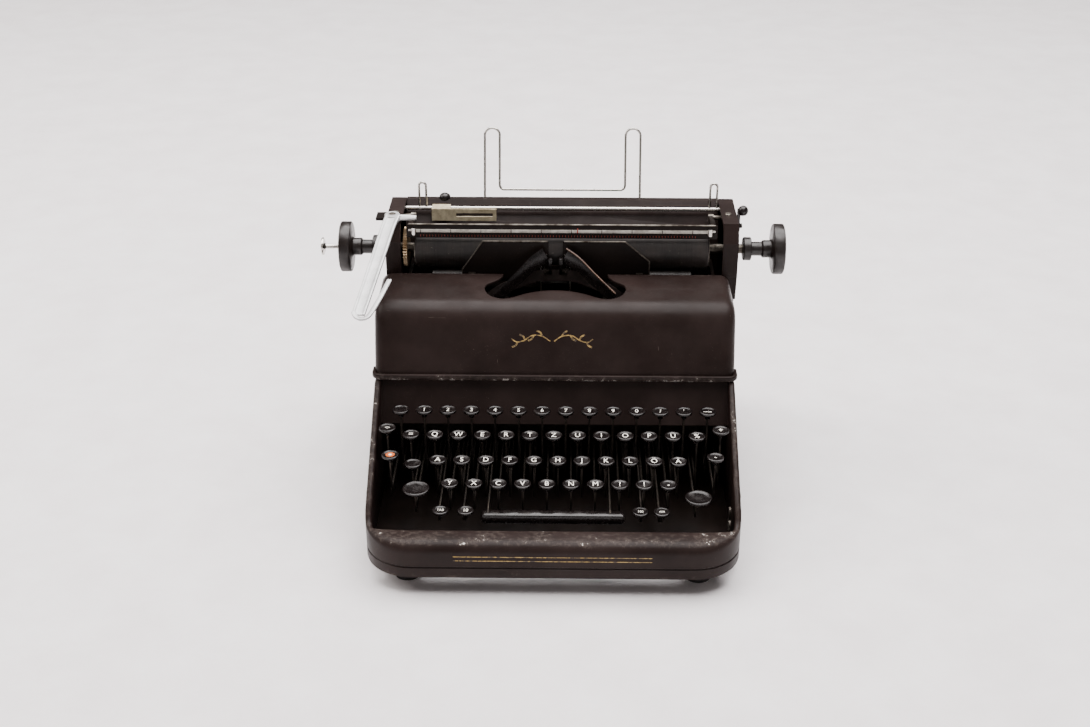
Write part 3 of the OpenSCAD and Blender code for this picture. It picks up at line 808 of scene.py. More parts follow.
    def wear(self, obj: bpy.types.Object) -> None:
        """Stores where hands and boxes have rubbed the enamel."""
        layer = obj.data.attributes.new("wear", "FLOAT", "POINT")
        for vertex in obj.data.vertices:
            x, y, z = vertex.co
            depth = y - self.low.y
            top = self.top(max(depth, 0))
            near_top = max(0.0, 1 - max(0.0, top - z) / (5 * MM))
            near_foot = max(0.0, 1 - max(0.0, z - self.low.z) / (4 * MM))
            corner = min(1.0, max(0.0, (abs(x) - 60 * MM) / (70 * MM)))
            front = max(0.0, 1 - depth / (60 * MM))
            value = near_top * (0.2 + 0.42 * corner * front) + near_foot * 0.5 * front
            if depth > 50 * MM:
                value = max(value, near_top * 0.42)
            layer.data[vertex.index].value = min(1.0, max(0.06, value))

    def stripe(self) -> bpy.types.Object:
        """Two worn gilt hairlines along the front rail."""
        z, y = self.low.z + 18 * MM, self.low.y + 0.06 * MM
        marks = []
        for dz in (-1.8, 1.8):
            marks.append([(-76 * MM, dz * MM), (76 * MM, dz * MM)])
        strips = [flat_strip([(u, y, z + v) for u, v in line], 0.5 * MM) for line in marks]
        return dress(joined("rail_gilding", strips), Finish.GILT.material)

    def make(self) -> None:
        """Builds the frame and dresses the CAD nodes round it."""
        shell = joined("frame_casting", [dress(self.shell(), Finish.ENAMEL.material)]
                       + [dress(rib, Finish.DARK_AND_SHADE_ENAMEL.material) for rib in self.ribs()])
        self.wear(shell)
        settle(shell, self.body, "frame_enamel", "base_frame")
        settle(self.stripe(), self.body, "frame_enamel")
        for node, finish in (("rubber_feet", Finish.FOOT_RUBBER), ("frame_screws", Finish.STEEL),
                             ("key_panel", Finish.ENAMEL), ("rear_panel", Finish.ENAMEL),
                             ("lever_shaft", Finish.STEEL), ("key_comb", Finish.DARK_STEEL)):
            dress_node(node, finish)


def dress_node(node: str, finish: Finish, radius: float = 0.0) -> None:
    """Gives a CAD node its finish, and soft edges where a radius is given.

    Args:
        node: the CAD node.
        finish: its finish.
        radius: edge radius in metres; 0 leaves the edges.
    """
    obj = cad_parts[node]
    for slot in obj.material_slots:
        slot.material = finish.material
    if not obj.material_slots:
        obj.data.materials.append(finish.material)
    if radius:
        weld = obj.modifiers.new("weld", "WELD")
        weld.merge_threshold = 1e-6
        bevel = obj.modifiers.new("bevel", "BEVEL")
        bevel.width = radius
        bevel.segments = 2
        bevel.limit_method = "ANGLE"
        bevel.angle_limit = math.radians(40)
        bevel.harden_normals = True
    LOG.info("%s: %s", node, finish.name)


def flat_strip(line: list[Point], width: float, thick: float = 0.12 * MM) -> bpy.types.Object:
    """A thin strip laid along a line on an upright surface that faces forward.

    Args:
        line: points along the strip's middle.
        width: its width.
        thick: how far it stands proud.

    Returns:
        The strip as a closed mesh.
    """
    half = width / 2
    section = [(-half, 0), (half, 0), (half, thick), (-half, thick)]
    return swept("strip", line, [(v, u) for u, v in section], Vector((0, -1, 0)))


@dataclass
class Hood:
    """Pressed sheet hood: steep front, round shoulder and corners, a rolled lip, and a waved
    cut-out over the type basket."""

    sheet: float = 2 * MM
    edge_r: float = 9 * MM
    body: str = "hood"

    def __post_init__(self) -> None:
        """Reads the hood's box; the lip is 2 mm proud of each side and 3 mm of the front."""
        self.low, self.high = (Vector(c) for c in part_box("hood"))
        self.half = self.high.x - 2 * MM
        self.front = self.low.y + 3 * MM

    def profile(self) -> list[tuple[float, float]]:
        """Side outline as (y, z) from the lip over the shoulder to the rear edge."""
        y, z = self.front, self.low.z
        foot, bend = (y, z), (y + 14.5 * MM, z + 42 * MM)
        knee, start = (y + 19.5 * MM, self.high.z - 0.6 * MM), (y + 34 * MM, self.high.z - 0.5 * MM)
        out = [(foot[0] + (bend[0] - foot[0]) * k / 8, foot[1] + (bend[1] - foot[1]) * k / 8)
               for k in range(8)]
        for k in range(13):
            t = k / 12
            out.append(tuple((1 - t) ** 2 * a + 2 * t * (1 - t) * b + t * t * c
                             for a, b, c in zip(bend, knee, start)))
        out += [(start[0] + (self.high.y - start[0]) * k / 8, self.high.z - 0.5 * MM + 0.5 * MM * k / 8)
                for k in range(1, 9)]
        return out

    def front_at(self, z: float) -> float:
        """Depth of the front face at a height."""
        rows = self.profile()
        for (y0, z0), (y1, z1) in zip(rows, rows[1:]):
            if z0 <= z <= z1:
                return y0 + (y1 - y0) * (z - z0) / (z1 - z0)
        return rows[-1][0]

    def skin(self) -> bpy.types.Object:
        """Outer skin with rounded ends and closed sides."""
        rows = self.profile()
        normals = []
        for i in range(len(rows)):
            a, b = rows[max(i - 1, 0)], rows[min(i + 1, len(rows) - 1)]
            along = Vector((b[0] - a[0], b[1] - a[1])).normalized()
            normals.append((-along.y, along.x))
        columns: list[tuple[float, float]] = []
        for k in range(8):
            a = math.pi / 2 * k / 7
            columns.append((-self.half + self.edge_r * (1 - math.sin(math.pi / 2 - a)),
                            self.edge_r * (1 - math.cos(math.pi / 2 - a))))
        flat = [(x / 12 * (self.half - self.edge_r), 0.0) for x in range(-11, 12)]
        columns = columns + flat + [(-x, inset) for x, inset in reversed(columns)]
        verts, faces = [], []
        for x, inset in columns:
            for (y, z), (ny, nz) in zip(rows, normals):
                height = max(self.low.z, z - nz * inset)
                verts.append((x, min(self.high.y, y - ny * inset), height))
        count, ring = len(columns), len(rows)
        for i in range(count):
            verts[i * ring] = (verts[i * ring][0], verts[i * ring][1], self.low.z)
            last = i * ring + ring - 1
            verts[last] = (verts[last][0], self.high.y, verts[last][2])
        for i in range(count - 1):
            for k in range(ring - 1):
                faces.append((i * ring + k, (i + 1) * ring + k,
                              (i + 1) * ring + k + 1, i * ring + k + 1))
        for i in (0, count - 1):
            verts.append((columns[i][0], self.high.y, self.low.z))
            side = [i * ring + k for k in range(ring)] + [len(verts) - 1]
            faces.append(tuple(side))
        skin = mesh_object("hood_skin", verts, faces)
        top = max(skin.data.polygons, key=lambda face: face.center.z)
        if top.normal.z < 0:
            skin.data.flip_normals()
        return skin

    def cutter(self) -> bpy.types.Object:
        """Solid whose outline is the waved cut-out."""
        back = self.high.y
        half = [(44.5, 3), (44.5, -4), (49, -13), (57.5, -22), (58, -33), (53, -44), (44, -49),
                (35, -46.5), (24, -39), (12, -34), (0, -32.5)]
        points = half + [(-x, y) for x, y in reversed(half[:-1])]
        line = smooth_path([(x * MM, back + y * MM, 0) for x, y in points], 4)
        count = len(line)
        verts = [(x, y, z) for z in (self.high.z - 18 * MM, self.high.z + 8 * MM)
                 for x, y, _ in line]
        faces = [(k, (k + 1) % count, count + (k + 1) % count, count + k) for k in range(count)]
        faces += [tuple(range(count)), tuple(range(count, 2 * count))]
        return mesh_object("cutter", verts, faces, smooth=False)

    def shell(self) -> bpy.types.Object:
        """Skin with its thickness and cut-out."""
        skin, cutter = self.skin(), self.cutter()
        wall = skin.modifiers.new("wall", "SOLIDIFY")
        wall.thickness = self.sheet
        wall.offset = -1
        cut = skin.modifiers.new("cut", "BOOLEAN")
        cut.object = cutter
        cut.solver = "EXACT"
        baked(skin)
        bpy.data.objects.remove(cutter)
        tidy_mesh(skin.data)
        return bevelled(skin, 0.45 * MM, 2, 50)

    def lip(self) -> bpy.types.Object:
        """Rolled lip along the front and round both corners."""
        x, y, z = self.half + 0.4 * MM, self.front - 0.9 * MM, self.low.z + 2.4 * MM
        r = 6 * MM
        path = [(-x, y + 14 * MM, z)]
        path += [(-x + r - r * math.cos(a), y + r - r * math.sin(a), z)
                 for a in (math.pi / 2 * k / 6 for k in range(7))]
        path += [(k / 10 * (x - r), y, z) for k in range(-9, 10)]
        path += [(-px, py, pz) for px, py, pz in reversed(path[:8])]
        section = [(a * 1.6 * MM, b * 2.3 * MM) for a, b in
                   [(math.cos(t) * abs(math.cos(t)) ** -0.4 if abs(math.cos(t)) > 1e-6 else 0,
                     math.sin(t) * abs(math.sin(t)) ** -0.4 if abs(math.sin(t)) > 1e-6 else 0)
                    for t in (2 * math.pi * k / 16 for k in range(16))]]
        return swept("hood_lip", path, [(v, u) for u, v in section], Vector((0, 0, 1)))

    def flourish(self) -> bpy.types.Object:
        """Gilt ornament on the front: two mirrored stems with leaves."""
        z0, proud = self.low.z + 31 * MM, 0.1 * MM

        def lay(points: list[tuple[float, float]], width: float) -> bpy.types.Object:
            """Lays a line of (x, z) offsets in millimetres on the front face."""
            line = [(u * MM, self.front_at(z0 + v * MM) - proud, z0 + v * MM) for u, v in points]
            return flat_strip(line, width)

        def bent(points: list[tuple[float, float]]) -> list[tuple[float, float]]:
            """Smooths a line of listed points."""
            return [(p[0], p[1]) for p in smooth_path([(u, v, 0) for u, v in points], 6)]

        strips = []
        for side in (-1, 1):
            stem = bent([(side * u - 2, v - 1) for u, v in
                         [(1.5, 0), (8, 4), (16, 4.5), (23, 0.5), (29, -0.5), (33, 2)]])
            strips.append(lay(stem, 0.9 * MM))
            for u, v, up in ((8, 4, 1), (15, 4.5, -1), (22, 1, 1), (28, -0.5, -1)):
                leaf = bent([(side * (u + a) - 2, v + up * b - 1) for a, b in
                             [(0, 0), (1.5, 2.6), (4.5, 4.2)]])
                strips.append(lay(leaf, 1.5 * MM))
        return dress(joined("hood_flourish", strips), Finish.GILT.material)

    def wear(self, obj: bpy.types.Object) -> None:
        """Rubbed at the lip, the rear edge and the left shoulder."""
        layer = obj.data.attributes.new("wear", "FLOAT", "POINT")
        for vertex in obj.data.vertices:
            x, y, z = vertex.co
            lip = max(0.0, 1 - (z - self.low.z) / (7 * MM))
            lip *= 1.0 if y < self.low.y + 20 * MM else 0.45
            back = max(0.0, 1 - (self.high.y - y) / (5 * MM))
            end = max(0.0, 1 - (self.half - abs(x)) / (10 * MM))
            top = max(0.0, 1 - (self.high.z - z) / (14 * MM))
            value = max(0.66 * lip, 0.34 * back * top, 0.38 * end * top)
            layer.data[vertex.index].value = min(1.0, max(0.07, value))

    def make(self) -> None:
        """Builds the hood."""
        hood = joined("hood_sheet", [dress(self.shell(), Finish.ENAMEL.material),
                                     dress(self.lip(), Finish.ENAMEL.material)])
        self.wear(hood)
        settle(hood, self.body, "frame_enamel", "hood")
        settle(self.flourish(), self.body, "frame_enamel")


# ---------------------------------------------------------------- repeated pieces
def scatter(name: str, points: list[Point], shape: bpy.types.Object, finish: Finish,
            scale: float = 1.0) -> bpy.types.Object:
    """Sets a copy of a small shape on each point with Geometry Nodes, as one plain mesh.

    Args:
        name: the new piece's name.
        points: where the copies stand.
        shape: the shape, made round its own origin; it stays as it was.
        finish: the finish of all copies.
        scale: size of each copy.

    Returns:
        The plain mesh object.
    """
    mesh = bpy.data.meshes.new(name)
    mesh.from_pydata(points, [], [])
    obj = link_object(name, mesh)
    tree = bpy.data.node_groups.new(name + "_nodes", "GeometryNodeTree")
    face = tree.interface
    face.new_socket("Places", in_out="INPUT", socket_type="NodeSocketGeometry")
    for label, kind in (("Shape", "NodeSocketObject"), ("Size", "NodeSocketFloat"),
                        ("Finish", "NodeSocketMaterial")):
        face.new_socket(label, in_out="INPUT", socket_type=kind)
    face.new_socket("Pieces", in_out="OUTPUT", socket_type="NodeSocketGeometry")
    start = add_node(tree, "NodeGroupInput")
    info = add_node(tree, "GeometryNodeObjectInfo", {"transform_space": "ORIGINAL"},
                    Object=start.outputs["Shape"])
    copies = add_node(tree, "GeometryNodeInstanceOnPoints", None, Points=start.outputs["Places"],
                      Instance=info.outputs["Geometry"], Scale=start.outputs["Size"])
    solid = add_node(tree, "GeometryNodeRealizeInstances", None, Geometry=copies.outputs[0])
    dressed = add_node(tree, "GeometryNodeSetMaterial", None, Geometry=solid.outputs[0],
                       Material=start.outputs["Finish"])
    add_node(tree, "NodeGroupOutput", None, Pieces=dressed.outputs[0])
    modifier = obj.modifiers.new("scatter", "NODES")
    modifier.node_group = tree
    inputs = {item.name: item.identifier for item in face.items_tree if item.in_out == "INPUT"}
    modifier[inputs["Shape"]] = shape
    modifier[inputs["Size"]] = scale
    modifier[inputs["Finish"]] = finish.material
    baked(obj)
    return obj


def drop(*shapes: bpy.types.Object) -> None:
    """Removes helper shapes once their copies are made."""
    for shape in shapes:
        bpy.data.objects.remove(shape)


def lettering(text: str, size: float, centre: Point, finish: Finish) -> bpy.types.Object:
    """Plain generic characters lying on a flat key top.

    Args:
        text: the characters.
        size: height of the font.
        centre: middle of the text, on the surface.
        finish: colour of the characters.

    Returns:
        The characters as a thin mesh.
    """
    curve = bpy.data.curves.new("legend", "FONT")
    curve.body = text
    curve.size = size
    curve.align_x = "CENTER"
    curve.align_y = "CENTER"
    curve.extrude = 0.06 * MM
    curve.resolution_u = 3

    source = bpy.data.objects.new("legend", curve)
    bpy.context.scene.collection.objects.link(source)
    graph = bpy.context.evaluated_depsgraph_get()
    mesh = bpy.data.meshes.new_from_object(source.evaluated_get(graph))
    bpy.data.objects.remove(source)
    mesh.transform(Matrix.Translation(centre) @ Matrix.Diagonal((1.0, 1.4, 1.0, 1.0)))
    return dress(link_object("legend", mesh), finish.material)


# ---------------------------------------------------------------- keyboard
class Mark(Enum):
    """Signs that take the place of words on the function keys."""

    MARGIN = "<|>"
    SET = "+"
    CLEAR = "-"


@dataclass
class KeyRow:
    """One row of round character keys that moves as one body."""

    name: str
    legends: list[str]
    size: float = 6.6 * MM
    skip: int = -1

    def places(self, pitch: float = 19 * MM) -> list[Point]:
        """Centres of the key tops on their upper face."""
        low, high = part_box(f"caps_{self.name}_row")
        radius = (high[1] - low[1]) / 2
        return [(low[0] + radius + k * pitch, low[1] + radius, high[2])
                for k in range(len(self.legends)) if k != self.skip]

    def make(self, keyboard: "Keyboard") -> None:
        """Sets the key tops and their legends, and dresses the levers."""
        places = self.places()
        caps = scatter(f"{self.name}_tops", places, keyboard.top_shape, Finish.RESIN)
        shown = [t for k, t in enumerate(self.legends) if k != self.skip]
        marks = [lettering(t, keyboard.font_size(t, self.size), keyboard.on_top(p), Finish.LEGEND)
                 for t, p in zip(shown, places) if t]
        piece = joined(f"{self.name}_key_tops", [caps] + marks)
        settle(piece, f"{self.name}_row", "key_black", f"caps_{self.name}_row")
        dress_node(f"levers_{self.name}_row", Finish.DARK_STEEL)


@dataclass
class Keyboard:
    """Four rows of character keys, the function keys on levers of their own, and the space bar."""

    radius: float = 6.8 * MM
    rim: float = 2.4 * MM
    skirt: float = 4.5 * MM
    bar_h: float = 9 * MM
    shaft_node: str = "lever_shaft"
    top_shape: bpy.types.Object = field(init=False)

    def __post_init__(self) -> None:
        """Makes the shape that all character keys share."""
        self.top_shape = self.key_top(self.radius, (0, 0, 0))

    def key_top(self, r: float, centre: Point) -> bpy.types.Object:
        """A turned key top: dished face, rolled rim and a funnel down to its stem."""
        m, rim = MM, self.rim
        outline = [(0.1 * m, -0.62 * m), (r * 0.5, -0.6 * m), (r - 1.7 * m, -0.52 * m),
                   (r - 1.25 * m, -0.3 * m), (r - 0.95 * m, -0.02 * m), (r - 0.55 * m, 0.0),
                   (r - 0.16 * m, -0.2 * m), (r, -0.65 * m), (r, -rim + 0.7 * m),
                   (r - 0.2 * m, -rim + 0.2 * m), (r - 0.7 * m, -rim), (r * 0.72, -rim - 0.1 * m),
                   (r * 0.5, -rim - 1.2 * m), (r * 0.33, -rim - 2.6 * m),
                   (2.1 * m, -rim - self.skirt), (0.1 * m, -rim - self.skirt)]
        top = lathe("key_top", outline, centre, steps=28)
        return dress(top, Finish.RESIN.material)

    def on_top(self, place: Point) -> Point:
        """Where a legend lies on the dished face."""
        return (place[0], place[1], place[2] - 0.52 * MM)

    def font_size(self, text: str, size: float) -> float:
        """Font height that fits a text on a key."""
        return size if len(text) < 2 else size * 1.7 / (len(text) + 0.6)

    def lever(self, key: Point, lever_x: float, foot: float) -> bpy.types.Object:
        """A flat lever with its bearing eye, bar and stem up to the funnel."""
        low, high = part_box(self.shaft_node)
        y, z = (low[1] + high[1]) / 2, (low[2] + high[2]) / 2
        half = 0.7 * MM
        eye = lathe("eye", [(2.56 * MM, -half), (5.5 * MM, -half), (5.5 * MM, half),
                            (2.56 * MM, half), (2.56 * MM, -half)], (lever_x, y, z), "X", 24)
        bar = soft_box("bar", (lever_x - half, key[1] - 2 * MM, z - 3.5 * MM),
                       (lever_x + half, y - 4 * MM, z + 3.5 * MM), 0.2 * MM)
        parts = [eye, bar]
        if foot > z + 3.5 * MM:
            parts.append(soft_box("stem", (lever_x - half, key[1] - 1.6 * MM, z),
                                  (lever_x + half, key[1] + 1.6 * MM, foot), 0.2 * MM))
        if abs(key[0] - lever_x) > 0.1 * MM:
            ends = sorted((key[0], lever_x))
            parts.append(soft_box("jog", (ends[0] - half, key[1] - 2 * MM, foot - 2 * MM),
                                  (ends[1] + half, key[1] + 2 * MM, foot), 0.2 * MM))
        for part in parts:
            dress(part, Finish.DARK_STEEL.material)
        return joined("lever", parts)

    def solo(self, node: str, legend: str = "", radius: float = 0.0, ring: bool = False,
             offset: float = 0.0, sunk: float = 0.0) -> None:
        """A key with its own lever.

        Args:
            node: the CAD node and body, which share a name.
            legend: generic characters on the key.
            radius: radius of the top, where it isn't a character key's.
            ring: an orange ring round the middle.
            offset: how far the lever lies beside the key.
            sunk: how far the key top lies below the top of its lever's eye.
        """
        low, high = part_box(node)
        r = radius or self.radius
        key = (low[0] + r, low[1] + r, high[2] - sunk)
        parts = [self.key_top(r, key),
                 self.lever(key, key[0] + offset, key[2] - self.rim - self.skirt)]
        if legend:
            size = self.font_size(legend, 6.6 * MM)
            parts.append(lettering(legend, size, self.on_top(key), Finish.LEGEND))
        if ring:
            x, y, z = self.on_top(key)
            for inner, outer, finish in ((2.1, 3.6, Finish.ORANGE), (0.0, 1.3, Finish.LEGEND)):
                disc = lathe("ring", [(max(inner, 0.05) * MM, 0), (outer * MM, 0),
                                      (outer * MM, 0.05 * MM), (max(inner, 0.05) * MM, 0.05 * MM),
                                      (max(inner, 0.05) * MM, 0)], (x, y, z), steps=28)
                parts.append(dress(disc, finish.material))
        settle(joined(f"{node}_piece", parts), node, "key_black", node)

    def shift(self, node: str, offset: float) -> None:
        """A large shift key on its own lever."""
        self.solo(node, radius=10.5 * MM, offset=offset)

    def space_bar(self) -> None:
        """A rounded bar on its two levers."""
        low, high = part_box("space_bar")
        y, top = low[1], low[2] + self.bar_h
        bar = soft_box("bar", (low[0], y, low[2]), (high[0], y + 9 * MM, top), 2.4 * MM)
        dress(bar, Finish.RESIN.material)
        arms = [self.lever((x * MM, y + 5 * MM, top), x * MM, low[2] + 4 * MM)
                for x in (-50.5, 44.5)]
        settle(joined("space_bar_piece", [bar] + arms), "space_bar", "key_black", "space_bar")

    def make(self) -> None:
        """Builds the keyboard."""
        rows = [
            KeyRow("number", list("1234567890/'")),
            KeyRow("upper", ["=", *"QWERTZUIOPÜ", "%"]),
            KeyRow("home", list("ASDFGHJKLÖÄ"), skip=4),
            KeyRow("lower", list("YXCVBNM?!-")),
        ]
        rows[0].size = 5.6 * MM
        for row in rows:
            row.make(self)
        self.solo("g_key", "G")
        self.solo("margin_key", Mark.MARGIN.value)
        self.solo("margin_release_key", ring=True)
        self.solo("blank_key")
        self.solo("shift_lock_key")
        self.solo("backspace_key", "—")
        self.solo("tab_set_key", Mark.SET.value)
        self.solo("tab_clear_key", Mark.CLEAR.value)
        small = self.radius - 0.5 * MM
        for node, text, offset in (("tab_key", "TAB", -0.9), ("tab_key_10", "10", -1.5),
                                   ("tab_key_100", "100", 0.75), ("tab_key_1000", "1000", -2.0)):
            self.solo(node, text, small, offset=offset * MM, sunk=1 * MM)
        self.shift("shift_key_left", -0.5 * MM)
        self.shift("shift_key_right", -2 * MM)
        self.space_bar()
        drop(self.top_shape)
        dress_node("ribbon_selector", Finish.STEEL)


# ---------------------------------------------------------------- type basket and ribbon
@dataclass
class TypeBasket:
    """Type bars in their segment, ribbon with its spools, guides and card holder."""

    body: str = "chassis"

    def __post_init__(self) -> None:
        """Reads where the card holder stands."""
        self.plate_low, self.plate_high = (Vector(c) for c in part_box("card_holder"))
        self.guide_low, self.guide_high = (Vector(c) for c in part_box("type_guide"))

    def card_holder(self) -> None:
        """Wide dark plate with bright edges, struts and a steel line scale with dark ticks at both
        sides.
        """
        z1, y = self.plate_high.z, self.plate_high.y
        half, z0 = 79.5 * MM, z1 - 34 * MM
        outline = [(-half, z0), (half, z0), (half, z1 - 18 * MM), (half - 21 * MM, z1),
                   (6 * MM, z1), (6 * MM, z0 + 12 * MM), (-6 * MM, z0 + 12 * MM), (-6 * MM, z1),
                   (-half + 18 * MM, z1), (-half, z1 - 26 * MM)]
        plate = extruded("plate", [(x, z) for x, z in outline], y - 1 * MM, y)
        dress(plate, Finish.DARK_AND_SHADE_ENAMEL.material)
        parts = [plate]
        for s in (-1, 1):
            run, drop_z = (21 * MM, 18 * MM) if s > 0 else (18 * MM, 26 * MM)
            edge = [(s * (half - 0.4 * MM), y - 0.5 * MM, z0 + 2 * MM),
                    (s * (half - 0.4 * MM), y - 0.5 * MM, z1 - drop_z),
                    (s * (half - run), y - 0.5 * MM, z1 - 0.3 * MM),
                    (s * 7 * MM, y - 0.5 * MM, z1 - 0.3 * MM)]
            parts.append(dress(swept("edge", edge, circle_section(0.75 * MM, 8), Vector((0, 1, 0))),
                               Finish.STEEL.material))
            ends = sorted((s * 68 * MM, s * 74 * MM))
            strut = soft_box("strut", (ends[0], y - 3.4 * MM, self.plate_low.z),
                             (ends[1], y - 1 * MM, z0 + 6 * MM))
            parts.append(dress(strut, Finish.DARK_STEEL.material))
            ends = sorted((s * half, s * (half + 34 * MM)))
            scale = soft_box("scale", (ends[0], y - 1 * MM, z0 + 2 * MM),
                             (ends[1], y, z0 + 3.4 * MM), 0.2 * MM)
            parts.append(dress(scale, Finish.STEEL.material))
            tick = soft_box("tick", (-0.15 * MM, -0.06 * MM, 0), (0.15 * MM, 0.04 * MM, 2.4 * MM),
                            0.02 * MM)
            places = [(s * (half + (2 + 2.54 * k) * MM), y - 1 * MM, z0 + 2.4 * MM)
                      for k in range(13)]
            parts.append(scatter("ticks", places, tick, Finish.RESIN))
            drop(tick)
        settle(joined("card_holder_piece", parts), self.body, "frame_enamel", "card_holder")

    def guide(self) -> None:
        """Forked type guide with a dark head and bright wires beside it."""
        low, high = self.guide_low, self.guide_high
        parts = []
        for s in (-1, 1):
            inner, outer = 2.8 * MM, 6.2 * MM
            ends = sorted((s * inner, s * outer))
            fork = soft_box("fork", (ends[0], low.y, low.z), (ends[1], high.y, high.z), 0.7 * MM)
            parts.append(dress(fork, Finish.RESIN.material))
            arm = sorted((s * inner, s * 10.8 * MM))
            foot = soft_box("arm", (arm[0], low.y, low.z), (arm[1], high.y, low.z + 4 * MM))
            parts.append(dress(foot, Finish.DARK_STEEL.material))
            wire = smooth_path([(s * 9.4 * MM, high.y - 1.2 * MM, low.z + 3 * MM),
                                (s * 9.0 * MM, high.y - 1.4 * MM, low.z + 14 * MM),
                                (s * 7.4 * MM, high.y - 1.6 * MM, high.z + 3 * MM)], 4)
            parts.append(dress(swept("wire", wire, circle_section(0.55 * MM, 8),
                                     Vector((0, 1, 0))), Finish.NICKEL.material))
        settle(joined("type_guide_piece", parts), self.body, "steel", "type_guide")

    def wings(self) -> None:
        """Two black ribbon guards that slope down from the type guide, the right one with a painted
        highlight along its top edge.
        """
        y = self.guide_low.y - 1.5 * MM
        top = self.plate_high.z
        parts = []
        for s in (-1, 1):
            line = [(s * 9 * MM, y + 2.6 * MM, top - 9 * MM), (s * 20 * MM, y - 3 * MM, top - 15 * MM),
                    (s * 34 * MM, y - 13 * MM, top - 26 * MM), (s * 50 * MM, y - 24 * MM, top - 38 * MM)]
            path = smooth_path(line, 6)
            tall = [(-0.4, -9.5), (0.4, -9.5), (0.4, 5.0), (0.0, 5.6), (-0.4, 5.0)]
            taper = [1.0 - 0.35 * k / (len(path) - 1) for k in range(len(path))]
            guard = swept("guard", path, [(b * MM, a * MM) for a, b in tall], Vector((0, 0, 1)),
                          scale=taper)
            parts.append(dress(guard, Finish.RESIN.material))
            # painted highlight: a reddish-brown rod along the top edge of the right guard only
            if s > 0:
                rim = [(x, py - 0.7 * MM, z + 4.6 * MM) for x, py, z in path]
                parts.append(dress(swept("rim", rim, circle_section(0.7 * MM, 6),
                                         Vector((0, 0, 1))), Finish.BROWN.material))
            strut = soft_box("guard_strut", (min(s * 8, s * 9.4) * MM, y, self.guide_low.z),
                             (max(s * 8, s * 9.4) * MM, self.guide_low.y + 2 * MM,
                              self.guide_low.z + 3 * MM))
            parts.append(dress(strut, Finish.DARK_STEEL.material))
        settle(joined("ribbon_guards", parts), self.body, "steel")

    def ribbon(self) -> None:
        """Inked ribbon from spool to spool through the guards."""
        left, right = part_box("ribbon_spool_left"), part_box("ribbon_spool_right")
        z = (left[0][2] + left[1][2]) / 2
        y_print = self.guide_low.y - 0.6 * MM
        r_left, r_right = 11 * MM, 19 * MM
        cx, cy = (right[0][0] + right[1][0]) / 2, (right[0][1] + right[1][1]) / 2
        points = [(-cx, cy + r_left + 0.4 * MM, z), (-cx + 26 * MM, cy + 15 * MM, z + 8 * MM),
                  (-52 * MM, y_print - 14 * MM, self.guide_low.z - 12 * MM),
                  (-30 * MM, y_print - 4 * MM, self.guide_low.z - 5 * MM),
                  (-13.8 * MM, y_print + 0.4 * MM, self.guide_low.z - 1 * MM),
                  (13.8 * MM, y_print + 0.4 * MM, self.guide_low.z - 1 * MM),
                  (30 * MM, y_print - 4 * MM, self.guide_low.z - 5 * MM),
                  (52 * MM, y_print - 14 * MM, self.guide_low.z - 12 * MM),
                  (cx - 26 * MM, cy + 17 * MM, z + 8 * MM), (cx, cy + r_right + 0.4 * MM, z)]
        section = [(-5 * MM, -0.08 * MM), (5 * MM, -0.08 * MM), (5 * MM, 0.08 * MM),
                   (-5 * MM, 0.08 * MM)]
        strip = swept("ribbon", smooth_path(points, 5), section, Vector((0, 0, 1)))
        settle(dress(strip, Finish.COTTON.material), self.body, "rubber")

    def spools(self) -> None:
        """Two spools with flanges, and their winding of ribbon."""
        for name, wound in (("ribbon_spool_left", 11 * MM), ("ribbon_spool_right", 19 * MM)):
            low, high = (Vector(c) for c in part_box(name))
            centre = ((low.x + high.x) / 2, (low.y + high.y) / 2, low.z)
            r, h = (high.x - low.x) / 2, high.z - low.z
            parts = []
            for z in (0.0, h - 0.8 * MM):
                flange = lathe("flange", [(2.6 * MM, z), (r - 0.4 * MM, z), (r, z + 0.4 * MM),
                                          (r - 0.4 * MM, z + 0.8 * MM), (4 * MM, z + 0.8 * MM),
                                          (2.6 * MM, z + 0.8 * MM), (2.6 * MM, z)], centre, steps=40)
                parts.append(dress(flange, Finish.STEEL.material))
            core = lathe("core", [(2.6 * MM, 0.8 * MM), (wound, 0.8 * MM), (wound, h - 0.8 * MM),
                                  (2.6 * MM, h - 0.8 * MM), (2.6 * MM, 0.8 * MM)], centre, steps=40)
            parts.append(dress(core, Finish.COTTON.material))
            settle(joined(name + "_piece", parts), name, "steel", name)

    def make(self) -> None:
        """Builds the basket and dresses the CAD nodes in it."""
        self.card_holder()
        self.guide()
        self.wings()
        self.ribbon()
        self.spools()
        for node, finish in (("type_bars", Finish.DARK_STEEL), ("g_type_bar", Finish.DARK_STEEL),
                             ("type_segment", Finish.DARK_STEEL), ("ribbon_vibrator", Finish.NICKEL),
                             ("ribbon_cups", Finish.DARK_AND_SHADE_ENAMEL), ("carriage_rails", Finish.STEEL),
                             ("mainspring_drum", Finish.STEEL), ("bell", Finish.NICKEL)):
            dress_node(node, finish)


def extruded(name: str, outline: list[tuple[float, float]], y0: float, y1: float,
             radius: float = 0.0) -> bpy.types.Object:
    """A plate with an outline of (x, z) points, from depth y0 to y1.

    Args:
        name: the piece's name.
        outline: corners once round.
        y0: front depth.
        y1: rear depth.
        radius: edge rounding; 0 leaves the edges.

    Returns:
        The plate.
    """
    count = len(outline)
    verts = [(x, y, z) for y in (y0, y1) for x, z in outline]
    faces = [(k, (k + 1) % count, count + (k + 1) % count, count + k) for k in range(count)]
    faces += [tuple(range(count)), tuple(range(count, 2 * count))]
    plate = mesh_object(name, verts, faces, smooth=False)
    return bevelled(plate, radius) if radius else plate


